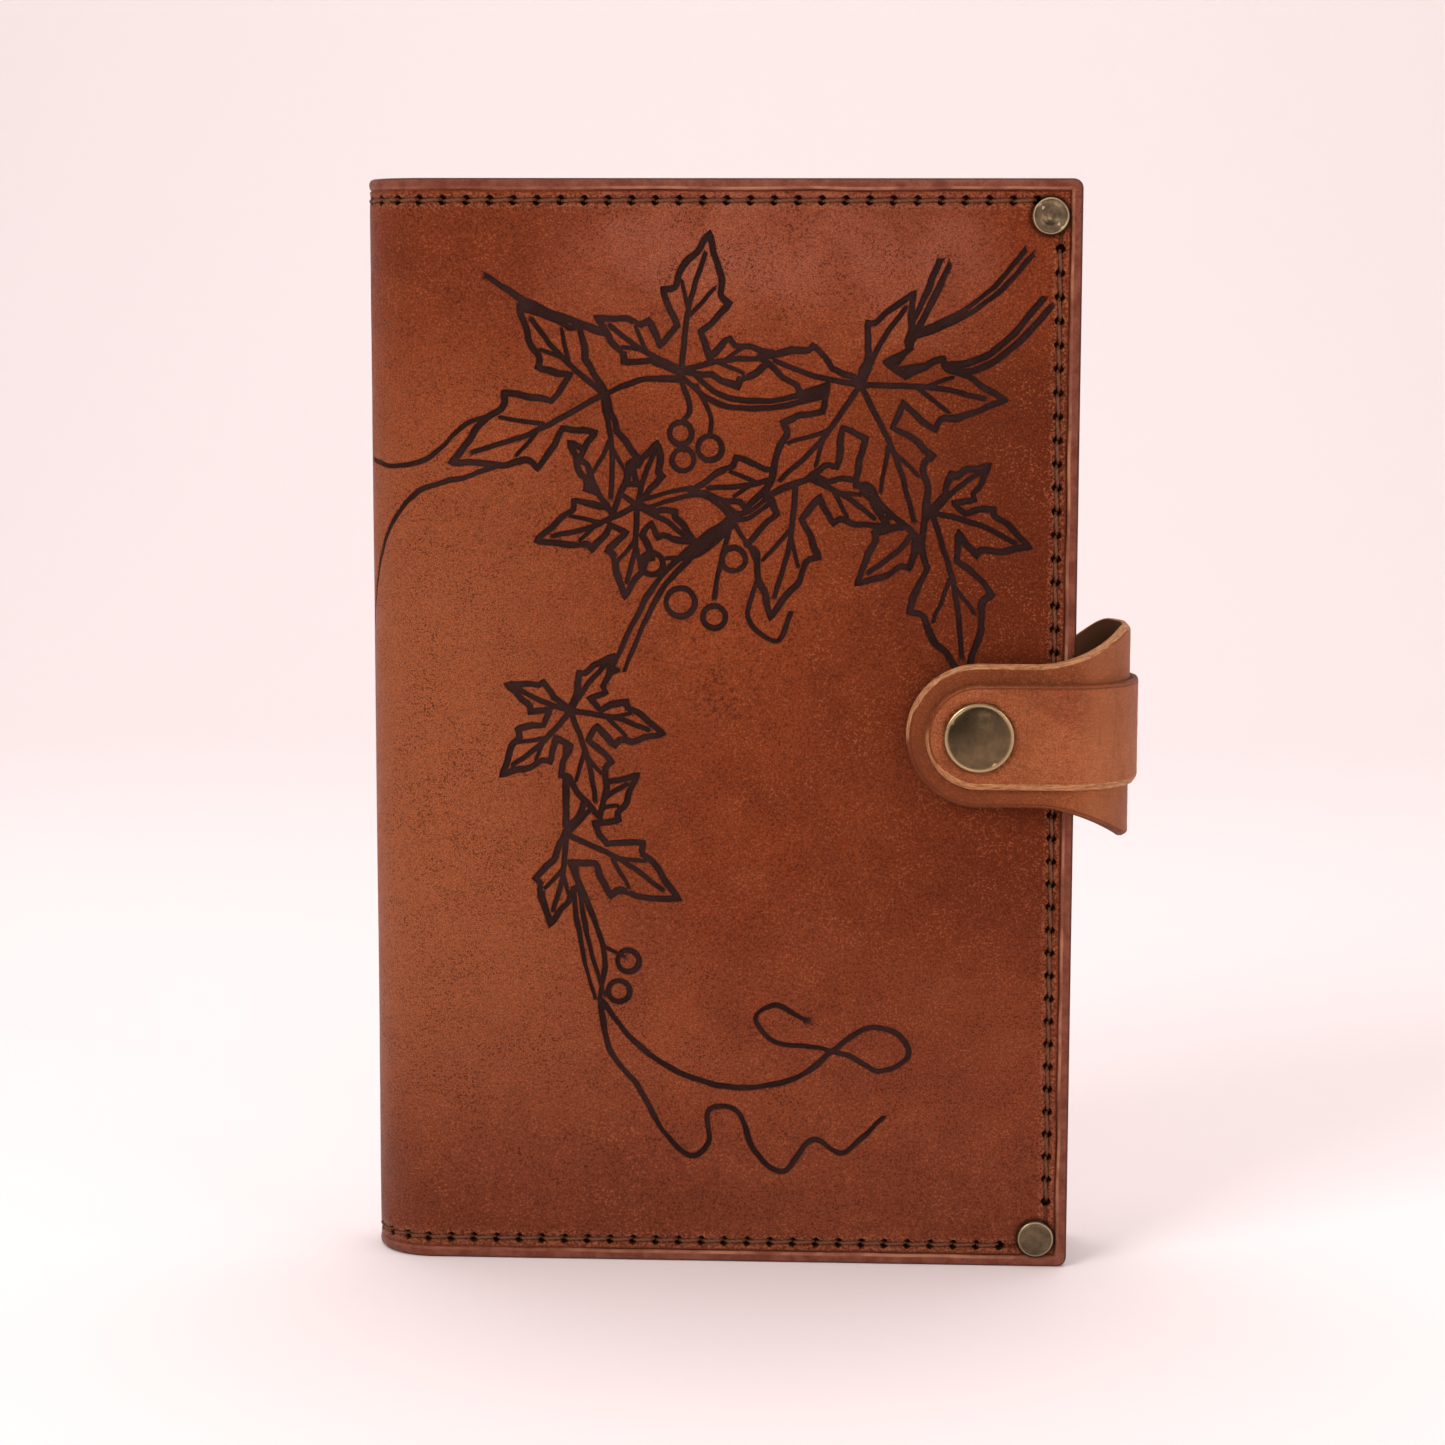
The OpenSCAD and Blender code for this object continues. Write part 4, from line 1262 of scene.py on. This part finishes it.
def strap_material(name, light, dark, flesh, pale, stain_and_shade):
    """Strap leather: worn grain side, fibrous flesh side and a raw pale cut edge."""
    s = Shade(name)
    flat = s.attribute("flat", "Vector")
    wide = s.noise(flat, 45, 4.0, 0.6, 0.5)
    s.colour = s.mix(s.ramp(wide, 0.32, 0.68), dark, light)
    grain = leather_grain(s, flat, 0.0005)
    s.coat(s.ramp(grain, 0.3, 0.66, 0.45, 0), "5c2c18")
    streaks = s.noise(s.stretch(flat, (1.0, 5.0, 1.0)), 260, 4.0, 0.7)
    s.coat(s.ramp(streaks, 0.5, 0.72, 0, 0.35), "6b3a22")
    speck = s.noise(flat, 2100, 1.0, 0.5)
    s.coat(s.ramp(speck, 0.54, 0.7, 0, 0.35), "5a2612")
    s.coat(s.ramp(speck, 0.45, 0.3, 0, 0.2), "c98a60")
    q = s.node("ShaderNodeSeparateXYZ", {"Vector": flat}).outputs[0]
    bent = s.between(q, 0.002, 0.008, (Q_END - 8) * MM, (Q_END + 2) * MM)
    creases = s.ramp(s.noise(s.stretch(flat, (1.0, 0.12, 1.0)), 900, 3.0, 0.6), 0.52, 0.64)
    creases = s.times(creases, bent)
    # lighter over the bend: painted highlight where light from the right falls on it
    s.coat(s.times(bent, 0.34), "c27c52")
    # darker towards the snap end of the wide layer: a stain and painted shade
    s.coat(s.ramp(q, 0.002, -0.014, 0, stain_and_shade), "6b2f18")
    s.coat(s.times(creases, 0.2), "6e3a22")
    inset = s.attribute("inset")
    s.coat(s.ramp(inset, 1.3, 0.3, 0, 0.5), "7a4026")
    s.coat(s.times(s.between(inset, 0.55, 0.75, 0.85, 1.15), 0.6), "5a2212")
    fibres = s.noise(s.stretch(flat, (2.0, 1.0, 1.0)), 1300, 4.0, 0.75, 1.5)
    under = s.mix(s.ramp(fibres, 0.35, 0.7), flesh, "7c5a40")
    s.coat(s.attribute("under"), under)
    layers = s.noise(s.stretch(flat, (0.6, 0.6, 6.0)), 900, 4.0, 0.7)
    raw = s.mix(s.ramp(layers, 0.3, 0.7), pale, "8e5a38")
    s.coat(s.ramp(s.attribute("edge"), 0.35, 0.8), raw)
    dark_cut = s.mix(s.ramp(layers, 0.35, 0.65), "8a4a2c", "4a1f14")
    s.coat(s.ramp(s.attribute("burnished"), 0.3, 0.8, 0, 0.85), dark_cut)
    # painted shade in the tacking holes and painted shadow round the snap cap
    s.coat(s.times(s.attribute("pit"), 0.9), "1d0c08")
    rough = s.math("ADD", s.ramp(wide, 0.3, 0.7, 0.48, 0.6), s.times(s.attribute("under"), 0.3))
    height = s.math("SUBTRACT", s.math("ADD", grain, s.times(speck, 0.6)), s.times(creases, 0.6))
    normal = s.bump(s.mix(s.attribute("under"), height, fibres), 0.8, 0.0003)
    s.finish(Roughness=rough, Normal=normal, Specular_IOR_Level=0.3, Specular_Tint=srgb("ffc8a0"))
    return s.material


def thread_material():
    """Waxed brown thread, with painted shade in the grooves between its strands."""
    s = Shade("waxed_thread")
    where = s.node("ShaderNodeTexCoord").outputs["Object"]
    fuzz = s.noise(where, 2600, 3.0, 0.7)
    # darker where the strand shade is low: painted shade between the strands
    s.colour = s.mix(s.ramp(s.attribute("strand"), 0.05, 0.7), "34180d", "643822")
    s.coat(s.ramp(fuzz, 0.4, 0.7, 0, 0.35), "764a30")
    s.finish(Roughness=0.55, Normal=s.bump(fuzz, 0.3, 0.0001), Specular_IOR_Level=0.25)
    return s.material


def brass_material(name, bright, dull, dark, tarnish, gloss, shaded_side=0.0):
    """Antique brass: worn bright on the rings, with a painted highlight on the outer rim, dark in the
    hollows and speckled with tarnish. The last argument is the strength of a painted shade on the side up
    and towards the spine from the snap's middle."""
    s = Shade(name)
    where = s.node("ShaderNodeTexCoord").outputs["Object"]
    wide = s.noise(where, 420, 4.0, 0.65)
    fine = s.noise(where, 2400, 3.0, 0.7)
    point = s.node("ShaderNodeNewGeometry").outputs["Pointiness"]
    s.colour = s.mix(s.ramp(wide, 0.3, 0.7), dull, dark)
    s.coat(s.ramp(point, 0.505, 0.56), bright)
    s.coat(s.ramp(point, 0.495, 0.45, 0, 0.8), "2a211a")
    # painted shade, standing in for a dark reflection, on the side up and towards the spine from the snap's
    # middle
    slope = s.node("ShaderNodeVectorMath", {0: where, 1: (-0.5, 0, 0.87)}, operation="DOT_PRODUCT")
    level = (0.87 * SNAP_Z - 0.5 * SNAP_X) * MM
    s.coat(s.ramp(slope.outputs["Value"], level - 0.004, level + 0.0055, 0, shaded_side), "1d1710")
    # brighter on the outer rim: worn brass and a painted highlight
    s.coat(s.ramp(s.attribute("rim"), 0.86, 0.95, 0, 0.8), bright)
    s.coat(s.ramp(fine, 0.56, 0.75, 0, tarnish), "33271c")
    rough = s.math("ADD", s.ramp(wide, 0.3, 0.7, gloss, gloss + 0.16), s.ramp(fine, 0.5, 0.8, 0, 0.2))
    s.finish(Metallic=1.0, Roughness=rough, Normal=s.bump(fine, 0.12, 0.0001))
    return s.material


# ---- build the object ----


def finished(o, slot, *nodes):
    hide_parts(*nodes)


def ridden(o, body, slot, *nodes):
    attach(o, body)
    finished(o, slot, *nodes)


def build_cover():
    leather, lining = cover_leather_material(), lining_material()
    pocket, thread = pocket_material(), thread_material()
    for region, (*_, parts) in REGIONS.items():
        outer = [f"{part}_{'leather' if 'spine' in part else 'panel'}" for part in parts]
        finished(cover_leather(region, leather), "cover_leather", *outer)
        finished(lining_sheet(region, lining), "lining_leather", *(f"{part}_lining" for part in parts))
        finished(stitches(region, thread), "thread", *(f"{part}_stitching" for part in parts))
    pocket_sheet(1, pocket)
    pocket_sheet(-1, pocket)
    return thread


def build_metal():
    rivet = brass_material("worn_brass_rivets", "ac9b7c", "72634c", "524535", 0.4, 0.3)
    snap = brass_material("antique_brass_snap", "b89f76", "6f5b42", "5b4b38", 0.15, 0.26, 0.72)
    for side, y, outward in (("front", FRONT_Y, -1), ("back", BACK_Y, 1)):
        caps, discs = [], []
        for z, cap in zip(RIVET_Z, (DOMED_CAP, DISHED_CAP)):
            caps.append(lathe(f"{side}_rivet", cap, RIVET_R, (RIVET_X, y, z), outward, rivet))
            inside_at = (RIVET_X, y - outward * POCKET_D, z)
            discs.append(lathe(f"{side}_disc", RIVET_DISC, RIVET_R, inside_at, -outward, rivet))
        body = f"{side}_cover"
        ridden(joined(f"{side}_rivet_heads", caps), body, "antique_brass", f"{side}_rivet_caps")
        ridden(joined(f"{side}_rivet_discs", discs), body, "antique_brass", f"{side}_rivet_bases")
    pieces = (
        ("snap_cap_dome", SNAP_DOME, SNAP_R, NARROW_LO[1], -1, 120, "strap_end", "snap_cap"),
        ("snap_socket_ring", SNAP_RING, 1.0, STRAP_IN_Y, 1, 72, "strap_end", "snap_socket"),
        ("snap_stud_knob", SNAP_KNOB, 1.0, FRONT_Y, -1, 72, "front_cover", "snap_stud"),
        ("snap_post_disc", SNAP_DISC, 1.0, FRONT_Y + LINING_D, 1, 72, "front_cover", "snap_post"),
    )
    for name, profile, radius, y, outward, turns, body, node in pieces:
        o = lathe(name, profile, radius, (SNAP_X, y, SNAP_Z), outward, snap, turns)
        ridden(o, body, "antique_brass", node)


def tacking(thread):
    """The two rows of stitches that hold the strap's flat end to the back cover."""
    pairs = [pair for row in TACKS for pair in zip(row[:-1], row[1:])]
    paths = [stitch_path(p, q, 1.0, 0.1 - 2 * STRAP_T, strap_place) for p, q in pairs]
    ridden(threads("strap_tacking", paths, thread), "back_cover", "thread", "strap_stitching")


def build_strap():
    wide = strap_material("strap_leather_wide", "9f5832", "7f3d20", "8a5c44", "d99e70", 0.45)
    narrow = strap_material("strap_leather_narrow", "b3663f", "92492a", "8a5c44", "d69a6a", 0.0)
    layers = (
        ("wide", wide_half_at, WIDE_HALF, 0.0, wide, (-0.1, 0.35), -1, 31.0),
        ("narrow", narrow_half_at, NARROW_HALF, STRAP_T, narrow, (0.8, -0.3), 1, 47.0),
    )
    for name, *shape in layers:
        front = strap_layer(f"strap_{name}_front", True, *shape)
        finished(front, "strap_leather", f"strap_end_{name}", f"strap_bend_{name}")
        holes = TACKS if name == "narrow" else ()
        rear = strap_layer(f"strap_{name}_rear", False, *shape, holes)
        finished(rear, "strap_leather", f"strap_base_{name}")


# ---- the stage, lights and camera ----


def build_stage():
    """A pale floor that curves up into a backdrop well behind the object."""
    y0, y1, r = -2.5, 1.4, 0.6
    profile = [(y0, 0.0), (y1 - r, 0.0)]
    profile += [(y1 - r + r * math.sin(a), r - r * math.cos(a)) for a in np.radians(np.linspace(6, 90, 15))]
    profile.append((y1, 3.0))
    points = [(x, y, z) for y, z in profile for x in (-3.0, 3.0)]
    faces = [(2 * k, 2 * k + 1, 2 * k + 3, 2 * k + 2) for k in range(len(profile) - 1)]
    mesh = bpy.data.meshes.new("studio_sweep")
    mesh.from_pydata(points, [], faces)
    mesh.polygons.foreach_set("use_smooth", [True] * len(faces))
    paper = Shade("pale_paper")
    paper.colour = srgb("faf1f1")
    paper.finish(Roughness=0.9)
    mesh.materials.append(paper.material)
    linked("studio_sweep", mesh)


def area_light(name, at, target, size, power, colour):
    light = bpy.data.lights.new(name, "AREA")
    light.shape, light.size, light.size_y = "RECTANGLE", size[0], size[1]
    light.energy, light.color = power, srgb(colour)[:3]
    o = linked(name, light)
    o.location = at
    o.rotation_euler = (Vector(target) - Vector(at)).to_track_quat("-Z", "Y").to_euler()


def build_lights():
    world = bpy.data.worlds.new("soft_room")
    world.use_nodes = True
    background = world.node_tree.nodes["Background"]
    background.inputs["Color"].default_value = srgb("fff8f8")
    background.inputs["Strength"].default_value = 0.3
    bpy.context.scene.world = world
    middle = (0, 0, 0.114)
    area_light("overhead", (0.0, 0.35, 1.5), (0, 0.05, 0), (1.7, 1.1), 15.0, "fffafa")
    area_light("key", (-0.85, -0.95, 0.9), middle, (0.7, 0.7), 11.5, "fffaf6")
    area_light("front", (0.25, -1.5, 0.5), (0.03, 0, 0.1), (0.5, 0.5), 3.2, "fff0ee")
    area_light("side", (0.9, -0.8, 0.6), middle, (0.4, 0.7), 2.5, "ffe6e6")
    area_light("fore_edge", (1.1, -0.3, 0.22), middle, (0.3, 0.6), 2.0, "fff0ea")


def build_camera():
    """Just below the cover's top and a little to the right of its middle, looking slightly down."""
    camera = bpy.data.cameras.new("camera")
    camera.sensor_width, camera.lens = 36, 79.7
    o = linked("camera", camera)
    o.location = (0.0256, -0.6716, 0.2014)
    yaw, pitch, roll = (math.radians(v) for v in (-2.75, 7.36, 0.14))
    forward = Vector((math.sin(yaw) * math.cos(pitch), math.cos(yaw) * math.cos(pitch), -math.sin(pitch)))
    o.rotation_mode = "QUATERNION"
    o.rotation_quaternion = forward.to_track_quat("-Z", "Y") @ Quaternion((0, 0, 1), roll)
    bpy.context.scene.camera = o


thread = build_cover()
build_metal()
build_strap()
tacking(thread)
build_stage()
build_lights()
build_camera()
bpy.context.scene.view_settings.view_transform = "Standard"
